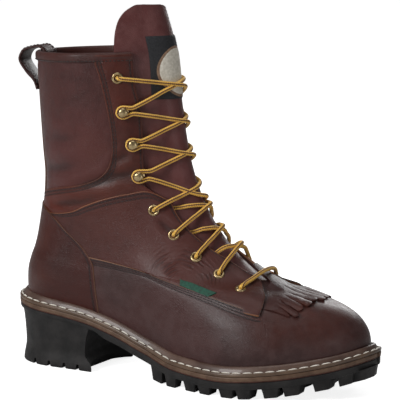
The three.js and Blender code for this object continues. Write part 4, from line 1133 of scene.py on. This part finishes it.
makeUpper()
makeQuarters()
makeBands()
makeVamp()
makeCounter()
makeBackStay()
makeBinding()
makePullLoop()
makeTongue()
layOnTongue("label_patch", 20.5, 0.868, 1.05, tongueOut + 0.2, 0.9, patchSkin, ["tongue_label"])
layOnTongue("label_ring", 17.6, 0.872, 1.018, tongueOut + 1.0, 0.25, labelRingSkin, [], oval=True)
layOnTongue("label_oval", 16.2, 0.879, 1.011, tongueOut + 1.15, 0.3, ovalSkin, [], oval=True)
print("leather ready")


def ringSkin(rows):  # rows of closed loops, closed the other way as well
    rows = np.asarray(rows)
    faces = gridFaces(rows.shape[0], rows.shape[1], wrapRows=True, wrapColumns=True)
    points = rows.reshape(-1, 3)
    return points, faces if skinVolume(points, faces) > 0 else [f[::-1] for f in faces]


def footprint(angle, offset):  # plan outline, at a distance outside the foot of the upper
    flat = unit(outward(angle, -0.02)[..., :2])
    return ringPoint(angle, 0)[..., :2] + flat * np.asarray(offset)[..., None]


def soleAngles(sign, count):  # even steps from heel to toe along one side
    angle = np.linspace(0.0, pi, 1500)
    path = footprint(sign * angle, 8.0)
    at = lengthAlong(path)
    return sign * np.interp(np.linspace(0, at[-1], count), at, angle)


soleSteps = 150
outerAngles, innerAngles = soleAngles(-1, soleSteps), soleAngles(1, soleSteps)
roundAngles = np.concatenate([outerAngles, innerAngles[-2:0:-1]])


def onSole(plan, drop):  # plan points to 3-D, at a height from the welt line
    return np.concatenate([plan, (weltLine(plan[..., 0]) + drop)[..., None]], -1)


def soleRing(offset, drop):
    return onSole(footprint(roundAngles, offset), drop)


def soleSlab(section, columns=12):  # a plate from heel to toe; section runs from top to bottom of its edge
    def edge(angles):
        rows = []
        for offset, drop in section:
            plan = footprint(angles, offset)
            rows.append(onSole(plan, drop(plan[:, 0]) if callable(drop) else drop))
        return np.array(rows).transpose(1, 0, 2)

    def between(a, b, drop):
        t = np.linspace(0, 1, columns + 2)[1:-1, None]
        grid = a[:, None] * (1 - t) + b[:, None] * t
        grid[..., 2] = weltLine(grid[..., 0]) + (drop(grid[..., 0]) if callable(drop) else drop)
        return grid
    outer, inner = edge(outerAngles[1:-1]), edge(innerAngles[1:-1])
    under = between(outer[:, -1], inner[:, -1], section[-1][1])
    over = between(inner[:, 0], outer[:, 0], section[0][1])
    return closedSkin(np.concatenate([outer, under, inner[:, ::-1], over], 1))


# Distance outside the upper's foot, and height over the welt line
weltSection = [(-6.5, -2.9), (8.5, -3.0), (8.95, -2.75), (9.05, -2.2), (9.05, -1.3), (8.85, -0.6),
               (8.4, -0.2), (7.9, -0.15), (7.5, -0.5), (7.0, -0.75), (6.5, -0.6), (6.1, -0.1),
               (5.75, 0.7), (5.3, 1.8), (4.75, 2.9), (4.1, 3.7), (3.3, 4.15), (2.4, 4.1), (1.4, 3.6),
               (0.0, 2.4), (-3.0, 0.6), (-6.5, -0.5)]
weltStitches = {"offset": 7.15, "drop": -0.35, "length": 7.3, "width": 1.9, "height": 0.8, "pitch": 8.5,
                "sink": 0.12, "slant": 0.05}


def makeWelt():
    rows = [soleRing(offset, drop) for offset, drop in weltSection]
    points, faces = ringSkin(rows)
    count = len(roundAngles)
    bead = np.repeat([1.0 if drop > -0.15 and offset < 6.6 else 0.0 for offset, drop in weltSection], count)
    makePiece("stitched_welt", points, faces, weltSkin, ["welt"], marks={"bead": bead})
    path = soleRing(weltStitches["offset"], weltStitches["drop"])
    path = np.concatenate([path, path[:1]])
    aside = footprint(roundAngles, 12.0) - footprint(roundAngles, 0.0)
    out = unit(np.concatenate([aside, np.full((count, 1), 22.0)], 1))  # up and a little outward
    out = np.concatenate([out, out[:1]])
    points, faces = stitchMesh([(path, out)], weltStitches, seed=5)
    makePiece("welt_stitches", points, faces, weltThread, [])


def makeMidsole():
    section = [(7.0, -3.15), (8.5, -3.2), (8.9, -3.5), (9.0, -4.2), (8.95, -5.6), (8.8, -6.35), (8.45, -6.45),
               (8.45, -6.6), (8.75, -6.7), (8.75, -7.1), (8.5, -7.2), (7.0, -7.25)]
    points, faces = soleSlab(section)
    width = len(section) * 2 + 24
    strip = np.array([0] * 7 + [1] * 5 + [0] * 12 + [1] * 5 + [0] * 7 + [0] * 12, float)
    strip = np.tile(strip, len(points) // width)
    makePiece("midsole_strip", points, faces, midsoleSkin, ["midsole"], marks={"line": strip})


# Depths under the welt line, lengths of lugs, and shares of length
sole = {"heelPlate": 10.5, "forePlate": 13.0, "breast": 0.27, "lug": 7.5, "archLug": 4.0,
        "arch": (0.42, 0.56)}


def plateFoot(x):
    drop = sole["forePlate"] - sole["heelPlate"]
    return -sole["heelPlate"] - drop * smooth((x - sole["breast"] * long) / 12)


def treadLine(x):
    start, end = sole["arch"]
    deeper = sole["archLug"] * (1 - smooth((x / long - start) / (end - start)))
    return np.maximum(0, weltLine(x) - sole["forePlate"] - sole["lug"] - deeper)


def lugBlock(corners, taper):  # a block from the plate down, bevelled at its tread
    corners = np.array(corners, float)
    ahead, behind = np.roll(corners, -1, 0), np.roll(corners, 1, 0)
    loop = []
    for c, n, p in zip(corners, ahead, behind):
        a, b = min(0.16, 1.0 / np.linalg.norm(p - c)), min(0.16, 1.0 / np.linalg.norm(n - c))
        loop += [c + (p - c) * a, c + (p - c) * a * 0.3 + (n - c) * b * 0.3, c + (n - c) * b]
    loop = np.array(loop)
    middle = loop.mean(0)
    rows = []
    for depth, size in ((0.0, 1.03), (0.12, 0.985), (0.5, (1 + taper) / 2 - 0.01), (0.9, taper + 0.02),
                        (0.97, taper), (1.0, taper - 0.06)):
        plan = middle + (loop - middle) * size
        root = weltLine(plan[:, 0]) - 12.2
        foot = treadLine(plan[:, 0])
        rows.append(np.concatenate([plan, (root + (foot - root) * depth)[:, None]], 1))
    return closedSkin(rows)


# Edge lugs of each side and the row between them, as shares of length; widths in mm
lugs = {"count": 10, "from": 0.462, "pitch": 0.0545, "pair": 0.0044, "long": 0.0395, "taper": 0.76,
        "centreFrom": 0.5, "centrePitch": 0.062, "centreLong": 0.047,
        "centreWidths": (15, 20, 24, 25, 24, 20, 14)}


def makeOutsole():
    section = [(6.5, -7.4), (8.1, -7.45), (8.45, -7.8), (8.5, -8.6), (8.5, lambda x: plateFoot(x) + 0.7),
               (8.2, lambda x: plateFoot(x) + 0.15), (7.4, plateFoot)]
    parts = [soleSlab(section)]
    edge = {}
    for sign, angles in ((-1, outerAngles), (1, innerAngles)):
        plan = footprint(angles, 7.9)
        order = np.argsort(plan[:, 0])
        edge[sign] = plan[order]

    def side(sign, x):
        return np.interp(x, edge[sign][:, 0], edge[sign][:, 1])
    for sign in (-1, 1):
        for i in range(lugs["count"]):
            x = long * (lugs["from"] + lugs["pitch"] * i + (-lugs["pair"] if i % 2 else lugs["pair"]))
            half = long * (lugs["long"] if i < lugs["count"] - 1 else 0.03) / 2
            reach = 12 if i < 2 else 17
            lean = 3.5 * (i / lugs["count"] - 0.3)
            parts.append(lugBlock([
                (x - half, side(sign, x - half)), (x + half, side(sign, x + half)),
                (x + half - lean, side(sign, x + half) - sign * reach),
                (x - half - lean, side(sign, x - half) - sign * reach)], lugs["taper"]))
    for i, width in enumerate(lugs["centreWidths"]):
        x = long * (lugs["centreFrom"] + lugs["centrePitch"] * i)
        y = (side(-1, x) + side(1, x)) / 2
        half = long * lugs["centreLong"] / 2
        parts.append(lugBlock([
            (x - half, y), (x - half * 0.45, y - width), (x + half * 0.65, y - width),
            (x + half, y), (x + half * 0.65, y + width), (x - half * 0.45, y + width)], 0.84))
    parts.append(lugBlock([(0.95 * long, -16), (0.988 * long, -13), (0.998 * long, 0), (0.988 * long, 13),
                           (0.95 * long, 16), (0.945 * long, 0)], 0.88))
    points, faces = joinParts(parts)
    makePiece("lugged_outsole", points, faces, rubber, ["outsole"], crease=35)


heelShape = {"heights": [0, 0.08, 0.35, 0.68, 1.25], "spread": [5.4, 5.2, 3.6, 4.6, 8.6],
             "breast": [0.262, 0.262, 0.238, 0.242, 0.27], "scoop": [13, 12, 9, 8, 6],
             "grooves": [0.086, 0.132, 0.178, 0.219], "depth": 4.6,  # foot: height, inset, half a groove
             "foot": [(5.4, 0.0, 0.9), (2.6, 0.0, 1.2), (0.9, 0.05, 1.5), (0.25, 0.45, 1.9), (0.0, 1.0, 2.4)]}


def heelRing(h, inset=0.0, count=44):
    spread, breast, scoop = (curveThrough(heelShape["heights"], heelShape[k])
                             for k in ("spread", "breast", "scoop"))
    front = float(breast(h)) * long - inset
    sides = {}
    for sign in (-1, 1):
        angle = np.linspace(0, pi * 0.62, 700)
        plan = footprint(sign * angle, float(spread(h)) - inset)
        plan = plan[plan[:, 0] <= front]
        at = lengthAlong(plan)
        sides[sign] = readAt(np.linspace(0, at[-1], count), at, plan)
        sides[sign][-1, 0] = front
    y = np.linspace(sides[1][-1, 1], sides[-1][-1, 1], 22)[1:-1]
    middle, half = (sides[1][-1, 1] + sides[-1][-1, 1]) / 2, abs(sides[1][-1, 1] - sides[-1][-1, 1]) / 2
    x = front - float(scoop(h)) * (1 - ((y - middle) / half) ** 2) ** 0.8
    return np.concatenate([sides[-1][::-1], sides[1][1:], np.stack([x, y], 1)])


def makeHeel():
    rows = []
    full = float(weltLine(0.13 * long)) - 10.5
    start = heelShape["depth"] / full
    for h in np.linspace(start, 1.0, 22):
        plan = heelRing(h)
        top = weltLine(plan[:, 0]) - 10.2
        z = top * h + (heelShape["depth"] - start * top) * (1 - (h - start) / (1 - start))
        rows.append(np.concatenate([plan, z[:, None]], 1))
    parts = [closedSkin(rows)]
    cuts = [-1.0] + list(heelShape["grooves"]) + [1.0]
    for i in range(5):
        low, high = cuts[i] * long, cuts[i + 1] * long
        rows = []
        for z, inset, gap in heelShape["foot"]:
            plan = heelRing(min(1.0, z / full), inset)
            a, b = low + (gap if i else 0), high - (gap if i < 4 else 0)
            x = np.clip(plan[:, 0], a, b)
            outerSide = plan[:44][::-1]
            innerSide = plan[43:87]
            moved = np.abs(x - plan[:, 0]) > 1e-6
            near = np.interp(x, outerSide[:, 0], outerSide[:, 1])
            far = np.interp(x, innerSide[:, 0], innerSide[:, 1])
            centre = (near + far) / 2
            nearWas = np.interp(plan[:, 0], outerSide[:, 0], outerSide[:, 1])
            farWas = np.interp(plan[:, 0], innerSide[:, 0], innerSide[:, 1])
            ratio = (plan[:, 1] - (nearWas + farWas) / 2) / ((nearWas - farWas) / 2 - 1e-6)
            y = np.where(moved, centre + np.clip(ratio, -1, 1) * (near - far) / 2, plan[:, 1])
            rows.append(np.stack([x, y, np.full(len(x), z)], 1))
        parts.append(closedSkin(rows[::-1]))
    points, faces = joinParts(parts)
    makePiece("heel_block", points, faces, rubber, ["heel"], crease=40)


def makeInsole():
    section = [(-4.2, 3.0), (-3.5, 2.7), (-3.4, 2.0), (-3.4, 0.6), (-3.8, 0.35)]
    points, faces = soleSlab(section)
    makePiece("insole_board", points, faces, skins["insole"], ["insole"], marks=noEdges(points))


def onTop(x, y):  # the place on the forefoot above a plan point, as (angle, level)
    x, y = np.asarray(x, float), np.asarray(y, float)
    angle = pi - np.sign(y + 1e-6) * np.clip(np.abs(y) / 45, 0.02, 0.9)
    level = np.clip((290 - x) / 230, 0.12, 0.5)
    for _ in range(16):
        p = ringPoint(angle, level)[..., :2]
        da = (ringPoint(angle + 0.002, level)[..., :2] - ringPoint(angle - 0.002, level)[..., :2]) / 0.004
        dl = (ringPoint(angle, level + 0.002)[..., :2] - ringPoint(angle, level - 0.002)[..., :2]) / 0.004
        ex, ey = x - p[..., 0], y - p[..., 1]
        det = da[..., 0] * dl[..., 1] - da[..., 1] * dl[..., 0]
        det = np.where(np.abs(det) < 1e-6, 1e-6, det)
        angle = angle + np.clip((ex * dl[..., 1] - ey * dl[..., 0]) / det, -0.15, 0.15)
        level = np.clip(level + np.clip((da[..., 0] * ey - da[..., 1] * ex) / det, -0.04, 0.04), 0.03, 0.62)
    return angle, level


def thicken(points, faces, under, bulge=0.2):  # a sheet with its underside and rounded rims
    points, under = np.asarray(points), np.asarray(under)
    seen = {}
    for f in faces:
        for a, b in zip(f, f[1:] + f[:1]):
            seen[(a, b)] = True
    rim = [(a, b) for a, b in seen if (b, a) not in seen]
    total = len(points)
    middle = (points + under) / 2
    spread = np.zeros_like(points)
    for a, b in rim:
        run = points[b] - points[a]
        away = unit(np.cross(run, points[a] - under[a]))
        spread[a] += away
        spread[b] += away
    used = sorted({i for pair in rim for i in pair})
    place = {v: 2 * total + i for i, v in enumerate(used)}
    rims = middle[used] + unit(spread[used]) * bulge
    allFaces = list(faces) + [tuple(i + total for i in f[::-1]) for f in faces]
    for a, b in rim:
        allFaces.append((b, a, place[a], place[b]))
        allFaces.append((place[b], place[a], a + total, b + total))
    return np.concatenate([points, under, rims]), allFaces


kiltie = {"fingers": 11, "reach": [246.5, 255.0, 259.5], "halfFront": 34.5, "back": 222.0, "halfBack": 41.0,
          "neck": 18.0, "lift": 3.5, "thick": 1.8, "seed": 11}


def makeKiltie():
    random = np.random.default_rng(kiltie["seed"])
    fingers, across, bodyRows, fingerRows = kiltie["fingers"], 9, 16, 22
    edges = np.concatenate([[-1.0], np.linspace(-0.8, 0.8, fingers - 1), [1.0]])
    reach = curveThrough([0, 0.5, 1], kiltie["reach"])
    points, under, faces, index = [], [], [], {}

    def add(key, top, low):
        if key not in index:
            index[key] = len(points)
            points.append(top)
            under.append(low)
        return index[key]

    def ends(s):
        tip = np.stack([reach(1 - np.abs(s)), kiltie["halfFront"] * np.sin(s * pi / 2)], -1)
        neck = 1 - smooth((np.abs(s) - 0.10) / 0.10)
        back = np.stack([kiltie["back"] - 4.0 * (1 - np.abs(s)) - kiltie["neck"] * neck,
                         kiltie["halfBack"] * s * (1 - 0.25 * neck)], -1)
        return back, tip
    for i in range(fingers):
        slit = 0.50 + random.uniform(-0.05, 0.06) if 0 < i < fingers - 1 else 0.56
        curl, droop, twist = random.uniform(-0.6, 1.3), random.uniform(-0.4, 0.5), random.uniform(-0.5, 0.5)
        stretch = random.uniform(0.95, 1.03)
        rows = np.concatenate([np.linspace(0, 0.42, bodyRows), np.linspace(0.42, 1, fingerRows)[1:]])
        v, c = np.meshgrid(rows, np.linspace(-1, 1, across), indexing="ij")
        free = smooth((v - slit) / 0.10)
        width = 1 - free * (0.07 + 0.07 * smooth((v - 0.6) / 0.4))
        width = width * (1 - 0.3 * smooth((v - 0.95) / 0.05) ** 2)
        s = (edges[i] + edges[i + 1]) / 2 + c * (edges[i + 1] - edges[i]) / 2 * width
        far = v * (1 + (stretch - 1) * smooth((v - 0.5) / 0.5)) - 0.02 * smooth((v - 0.9) / 0.1) * c ** 2
        back, tip = ends(s)
        plan = back + (tip - back) * far[..., None]
        angle, level = onTop(plan[..., 0], plan[..., 1])
        tucked = 1.5 * (1 - smooth((plan[..., 0] - 226) / 9)) * smooth((np.abs(plan[..., 1]) - 9) / 6)
        dent = 0.25 * np.exp(-((v - slit) / 0.05) ** 2) * c ** 4
        lift = (kiltie["lift"] - tucked - free * 0.5 * c ** 2 - dent
                + free * (curl * smooth((v - 0.7) / 0.3) ** 2 + droop * free * 0.4 + twist * c * 0.5))
        out = outward(angle, level)
        top = ringPoint(angle, level) + out * lift[..., None]
        low = top - out * kiltie["thick"]
        grid = []
        for r, share in enumerate(rows):
            body = share <= 0.4201
            grid.append([add((body, i * (across - 1) + k if body else (i, k), r), top[r, k], low[r, k])
                         for k in range(across)])
        for r in range(len(grid) - 1):
            for k in range(across - 1):
                faces.append((grid[r][k], grid[r][k + 1], grid[r + 1][k + 1], grid[r + 1][k]))
    points, under = np.array(points), np.array(under)
    a, b, c = (points[j] for j in faces[len(faces) // 2][:3])
    if np.cross(b - a, c - a)[2] < 0:
        faces = [f[::-1] for f in faces]
    points, faces = thicken(points, faces, under, 0.15)
    marks = noEdges(points)
    marks["rim"][2 * len(under):] = 0.0
    makePiece("kiltie_fringe", points, faces, skins["kiltie"], ["kiltie"], marks=marks,
              crease=60)


def makeTag():
    corners = onSide([(0.517, 0.325), (0.625, 0.297), (0.606, 0.285), (0.522, 0.309)])
    topLeft, topRight, lowRight, lowLeft = corners * [-1, 1]
    look = {"lift": 2.75, "base": 1.5, "cell": 1.0, "round": 0.3}
    sides = (np.linspace(lowLeft, lowRight, 12), np.linspace(topLeft, topRight, 12),
             np.linspace(lowLeft, topLeft, 8), np.linspace(lowRight, topRight, 8))
    layPanel("side_tag", sides, look, tagSkin, ["side_tag"])


# Angle from the front, and level, of each eyelet and hook
fixings = {"eyelet_1": (0.88, 0.317), "eyelet_2": (0.84, 0.409), "eyelet_3": (0.91, 0.469),
           "eyelet_4": (0.99, 0.537), "eyelet_5": (1.07, 0.6), "hook_1": (1.08, 0.684),
           "hook_2": (1.066, 0.76), "hook_3": (1.118, 0.84), "eyelet_6": (1.14, 0.932)}
eyeletProfile = [(2.3, -1.2), (2.25, 0.1), (2.4, 0.6), (2.9, 0.95), (3.5, 1.0), (4.05, 0.75), (4.4, 0.3),
                 (4.5, -0.3), (3.4, -1.2)]
hookProfile = [(0.0, 0.0), (3.9, 0.0), (3.9, 0.35), (3.6, 0.7), (1.6, 0.85), (1.35, 1.2), (1.35, 4.2),
               (1.8, 4.6), (3.5, 4.9), (3.8, 5.4), (3.6, 6.1), (2.7, 6.75), (1.4, 7.05), (0.0, 7.1)]


def fixingFrame(name, sign):
    fromFront, level = fixings[name]
    angle = sign * (pi - fromFront)
    lift = panelLift
    if name == "eyelet_1":
        lift += float(frontRaise(np.array([angle]), np.array([level]))[0])
    return leatherFrame(angle, level, lift)


def lathe(profile, place, around=26, lean=None):
    origin, roundWay, riseWay, out = place
    turn = np.arange(around) * 2 * pi / around
    ring = np.cos(turn)[:, None] * roundWay + np.sin(turn)[:, None] * riseWay
    return [origin + out * h + (lean(h) if lean else 0) + r * ring for r, h in profile]


def makeHardware():
    holeShades = []
    for name in fixings:
        for side, sign in bothSides:
            place = fixingFrame(name, sign)
            if name.startswith("eyelet"):
                points, faces = ringSkin(lathe(eyeletProfile, place))
                # painted shade: a dark disc fills the eyelet's hole
                holeShades.append(closedSkin(lathe([(2.5, -0.6), (2.5, 0.12)], place, 16)))
            else:
                heelward = place[1] if place[1][0] < 0 else -place[1]
                profile = [(max(r, 0.05), h) for r, h in hookProfile]
                rows = lathe(profile, place, 22, lambda h: heelward * 0.5 * smooth((h - 3.5) / 1.5))
                points, faces = closedSkin(rows)
            node = name + "_" + side
            makePiece(node + "_metal", points, faces, brass, [node], crease=50)
    points, faces = joinParts(holeShades)
    makePiece("eyelet_hole_shade", points, faces, holeShadeSkin, [])


# Lifts are from the upper's outside: at the fixings, on the facings and, low, over the tongue
lace = {"radius": 1.65, "eyeletLift": 4.6, "hookLift": 4.9, "facing": 4.0, "around": 12,
        "low": {"eyelet_2": 4.6, "eyelet_3": 0.4, "eyelet_4": 0.2},
        "outerRise": (-0.16, -0.02, 0.05, 0.22), "innerRise": (-0.45, -0.14, -0.03, 0.09)}
throatHalf = curveThrough(
    [0.3, 0.407, 0.444, 0.485, 0.503, 0.551, 0.581, 0.623, 0.65, 0.698, 0.793, 0.842, 0.896, 1],
    [0.46, 0.46, 0.36, 0.336, 0.62, 0.72, 0.748, 0.77, 1.04, 0.976, 0.888, 0.863, 0.9, 0.895])


def laceLift(fromFront, level, fixing, ends, low):
    edge = throatHalf(level)
    at = [np.maximum(edge - 0.36, 0.02), edge - 0.02, np.maximum(fixing - 0.1, edge + 0.05)]
    t1 = smooth((fromFront - at[0]) / (at[1] - at[0]))
    t2 = smooth((fromFront - at[1]) / (at[2] - at[1]))
    return low + (lace["facing"] - low) * t1 + (ends - lace["facing"]) * t2


def drawTaut(angle, level, passes=170):  # a strand's levels, pulled straight over the boot
    for _ in range(passes):
        here = ringPoint(angle, level)
        rise = (ringPoint(angle, level + 0.001) - here) / 0.001
        before, after = here[:-2] - here[1:-1], here[2:] - here[1:-1]
        m, n = (np.linalg.norm(side, axis=1)[:, None] for side in (before, after))
        pull = np.sum((before / m + after / n) * rise[1:-1], 1) / np.sum(rise[1:-1] ** 2, 1)
        level[1:-1] += pull * (m * n / (m + n))[:, 0]
    return level


def strandPlaces(start, end, sign, rise=0.0, count=46):
    (fa, la), (fb, lb) = fixings[start], fixings[end]
    coarse = np.linspace(0.0, 1.0, 13)
    level = drawTaut(sign * (pi - fa + coarse * (fa + fb)), la + (lb - la) * coarse)
    t = np.linspace(0.0, 1.0, count)
    level = curveThrough(coarse, level)(t) if la != lb else np.interp(t, coarse, level)
    return t, -fa + t * (fa + fb), level + rise * (lb - la) * np.sin(pi * t)


def crossOver(start, end, sign, over, low, rise=0.0, tuck=False):
    # from a fixing on side sign to the next one on the other side; tuck ends it under the far facing
    fa, fb = fixings[start][0], fixings[end][0]
    t, fromFront, level = strandPlaces(start, end, sign, rise)
    liftA = lace["eyeletLift"] if start.startswith("eyelet") else lace["hookLift"]
    liftB = lace["eyeletLift"] if end.startswith("eyelet") else lace["hookLift"]
    lift = np.where(t < 0.5, laceLift(np.abs(fromFront), level, fa, liftA, low),
                    laceLift(np.abs(fromFront), level, fb, liftB, low))
    if tuck:
        edge = throatHalf(level)
        under = smooth((fromFront - (edge - 0.28)) / 0.24)
        lift = lift * (1 - under) - 3.1 * under
    lift = lift + over * np.exp(-((t - 0.5) / 0.085) ** 2)
    angle = sign * (pi + fromFront)
    return ringPoint(angle, level) + outward(angle, level) * lift[:, None], outward(angle, level)


def throughEyelet(name, side, inward):  # up through the hole, or down into it
    origin, _, _, out = fixingFrame(name, side)
    heights = [-5.0, -3.2, -1.2, 0.6, 2.0]
    points = np.array([origin + out * h for h in heights])
    outs = np.repeat(unit(np.array([1.0, 0, 0.2]) - out * 0.1)[None], len(heights), 0)
    return (points[::-1], outs[::-1]) if inward else (points, outs)


def roundHook(name, side):
    origin, roundWay, rise, out = fixingFrame(name, side)
    heelward = roundWay if roundWay[0] < 0 else -roundWay
    turn = np.radians(np.linspace(-82, 82, 13))
    ring = np.cos(turn)[:, None] * heelward * 5.0 + np.sin(turn)[:, None] * rise * 4.2
    return origin + out * 2.9 + ring, np.repeat(out[None], len(turn), 0)


def trim(points, outs, centre, room):  # drop what lies near a fixing
    far = np.linalg.norm(points - centre, axis=1) > room
    return points[far], outs[far]


def evenPath(points, outs, step=1.1, rounds=3):
    points, outs = np.array(points), np.array(outs)
    at = lengthAlong(points)
    here = np.linspace(0, at[-1], int(at[-1] / step))
    points, outs = readAt(here, at, points), readAt(here, at, outs)
    for _ in range(rounds):
        points[1:-1] = (points[:-2] + 2 * points[1:-1] + points[2:]) / 4
        outs[1:-1] = (outs[:-2] + 2 * outs[1:-1] + outs[2:]) / 4
    return points, unit(outs)


def makeLaces():
    pieces = []
    # bar across the lowest eyelets
    t, fromFront, levels = strandPlaces("eyelet_1", "eyelet_1", -1)
    angle = -(pi + fromFront)
    lift = 6.4 + 0.6 * np.sin(pi * t) - 1.2 * (1 - smooth(np.minimum(t, 1 - t) / 0.12))
    bar = ringPoint(angle, levels) + outward(angle, levels) * lift[:, None]
    barOut = outward(angle, levels)
    a, b = throughEyelet("eyelet_1", -1, False), throughEyelet("eyelet_1", 1, True)
    bar, barOut = trim(bar, barOut, a[0][-1], 3.4)
    bar, barOut = trim(bar, barOut, b[0][0], 3.4)
    pieces.append((np.concatenate([a[0], bar, b[0]]), np.concatenate([a[1], barOut, b[1]]), ["lace_bar"],
                   "lace_bar_run"))
    order = ["eyelet_2", "eyelet_3", "eyelet_4", "eyelet_5"]
    for sign in (-1, 1):
        runs, outs = [], []
        side = sign
        for i, name in enumerate(order):
            p, o = throughEyelet(name, side, False)
            runs.append(p)
            outs.append(o)
            if i == len(order) - 1:
                break
            over = 2.1 if (i % 2 == 0) == (sign < 0) else -0.9
            p, o = crossOver(name, order[i + 1], side, over, lace["low"][name], tuck=True)
            p, o = trim(p, o, runs[-1][-1], 3.4)
            nextBase = throughEyelet(order[i + 1], -side, False)[0][0]
            p, o = trim(p, o, nextBase, 6.5)
            runs.append(p)
            outs.append(o)
            side = -side
        ladder = ["eyelet_5", "hook_1", "hook_2", "hook_3", "eyelet_6"]
        for i in range(4):
            low = -0.6 if i < 3 else 0.4
            over = 2.4 if (i % 2 == 0) == (sign < 0) else -0.2
            rise = lace["outerRise"][i] if side < 0 else lace["innerRise"][i]
            p, o = crossOver(ladder[i], ladder[i + 1], side, over, low, rise)
            centre = fixingFrame(ladder[i], side)
            centreTo = fixingFrame(ladder[i + 1], -side)
            lift = 2.0 if i == 0 else 2.9
            p, o = trim(p, o, centre[0] + centre[3] * lift, 3.4 if i == 0 else 6.5)
            p, o = trim(p, o, centreTo[0] + centreTo[3] * (2.9 if i < 3 else 2.0), 6.5 if i < 3 else 3.4)
            runs.append(p)
            outs.append(o)
            side = -side
            p, o = roundHook(ladder[i + 1], side) if i < 3 else throughEyelet(ladder[i + 1], side, True)
            runs.append(p)
            outs.append(o)
        pieces.append((np.concatenate(runs), np.concatenate(outs),
                       ["lace_cross_1", "lace_cross_2", "lace_cross_3", "lace_top"] if sign < 0 else [],
                       "lace_run_outer" if sign < 0 else "lace_run_inner"))
    for points, outs, nodes, name in pieces:
        path, up = evenPath(points, outs)
        p, f, corners = tube(path, lace["radius"], lace["around"], up)
        makePiece(name, p, f, laceSkin, nodes, corners=corners, crease=70)


makeWelt()
makeMidsole()
makeOutsole()
makeHeel()
makeInsole()
print("sole ready")
makeKiltie()
makeTag()
makeHardware()
makeLaces()
print("fittings ready")

stitchLook = {"length": 2.3, "width": 0.85, "height": 0.36, "pitch": 3.1, "sink": 0.02}
points, faces = stitchMesh(stitchWork, stitchLook)
makePiece("seam_stitches", points, faces, thread, [])
print("stitches ready")


# Lamps: name, place in metres, power, size
studio = {"sky": 0.2, "floor": 0.8, "glow": 0.84, "lamps": [
    ("key", (-0.7, -1.8, 1.1), 28, 0.8), ("front", (1.9, -0.9, 0.25), 3, 0.6),
    ("back", (-0.1, 1.9, 0.85), 9, 0.7), ("top", (0.1, -0.3, 2.0), 8, 1.0)]}


def makeStudio():
    floor = bpy.data.meshes.new("floor")
    floor.from_pydata([(-15, -15, 0), (15, -15, 0), (15, 15, 0), (-15, 15, 0)], [], [(0, 1, 2, 3)])
    material, tree, shader = startMaterial("pale floor", 0.9)
    shader.inputs["Base Color"].default_value = (*[studio["floor"]] * 3, 1)
    shader.inputs["Emission Color"].default_value = (1, 1, 1, 1)
    seen = tree.nodes.new("ShaderNodeLightPath").outputs["Is Camera Ray"]
    tree.links.new(mathNode(tree, "MULTIPLY", seen, studio["glow"]), shader.inputs["Emission Strength"])
    floor.materials.append(material)
    piece = bpy.data.objects.new("floor", floor)
    bpy.context.scene.collection.objects.link(piece)
    world = bpy.data.worlds.new("studio")
    world.use_nodes = True
    tree = world.node_tree
    seen = tree.nodes.new("ShaderNodeLightPath").outputs["Is Camera Ray"]
    strength = mathNode(tree, "ADD", mathNode(tree, "MULTIPLY", seen, 1 - studio["sky"]), studio["sky"])
    tree.links.new(strength, tree.nodes["Background"].inputs[1])
    tree.nodes["Background"].inputs[0].default_value = (1, 1, 1, 1)
    bpy.context.scene.world = world
    bpy.context.scene.view_settings.view_transform = "Standard"
    for name, place, power, size in studio["lamps"]:
        lamp = bpy.data.objects.new(name, bpy.data.lights.new(name, "AREA"))
        lamp.data.energy, lamp.data.size = power, size
        lamp.location = place
        lamp.rotation_euler = (Vector((0.1, 0, 0.1)) - Vector(place)).to_track_quat("-Z", "Y").to_euler()
        bpy.context.scene.collection.objects.link(lamp)


makeStudio()
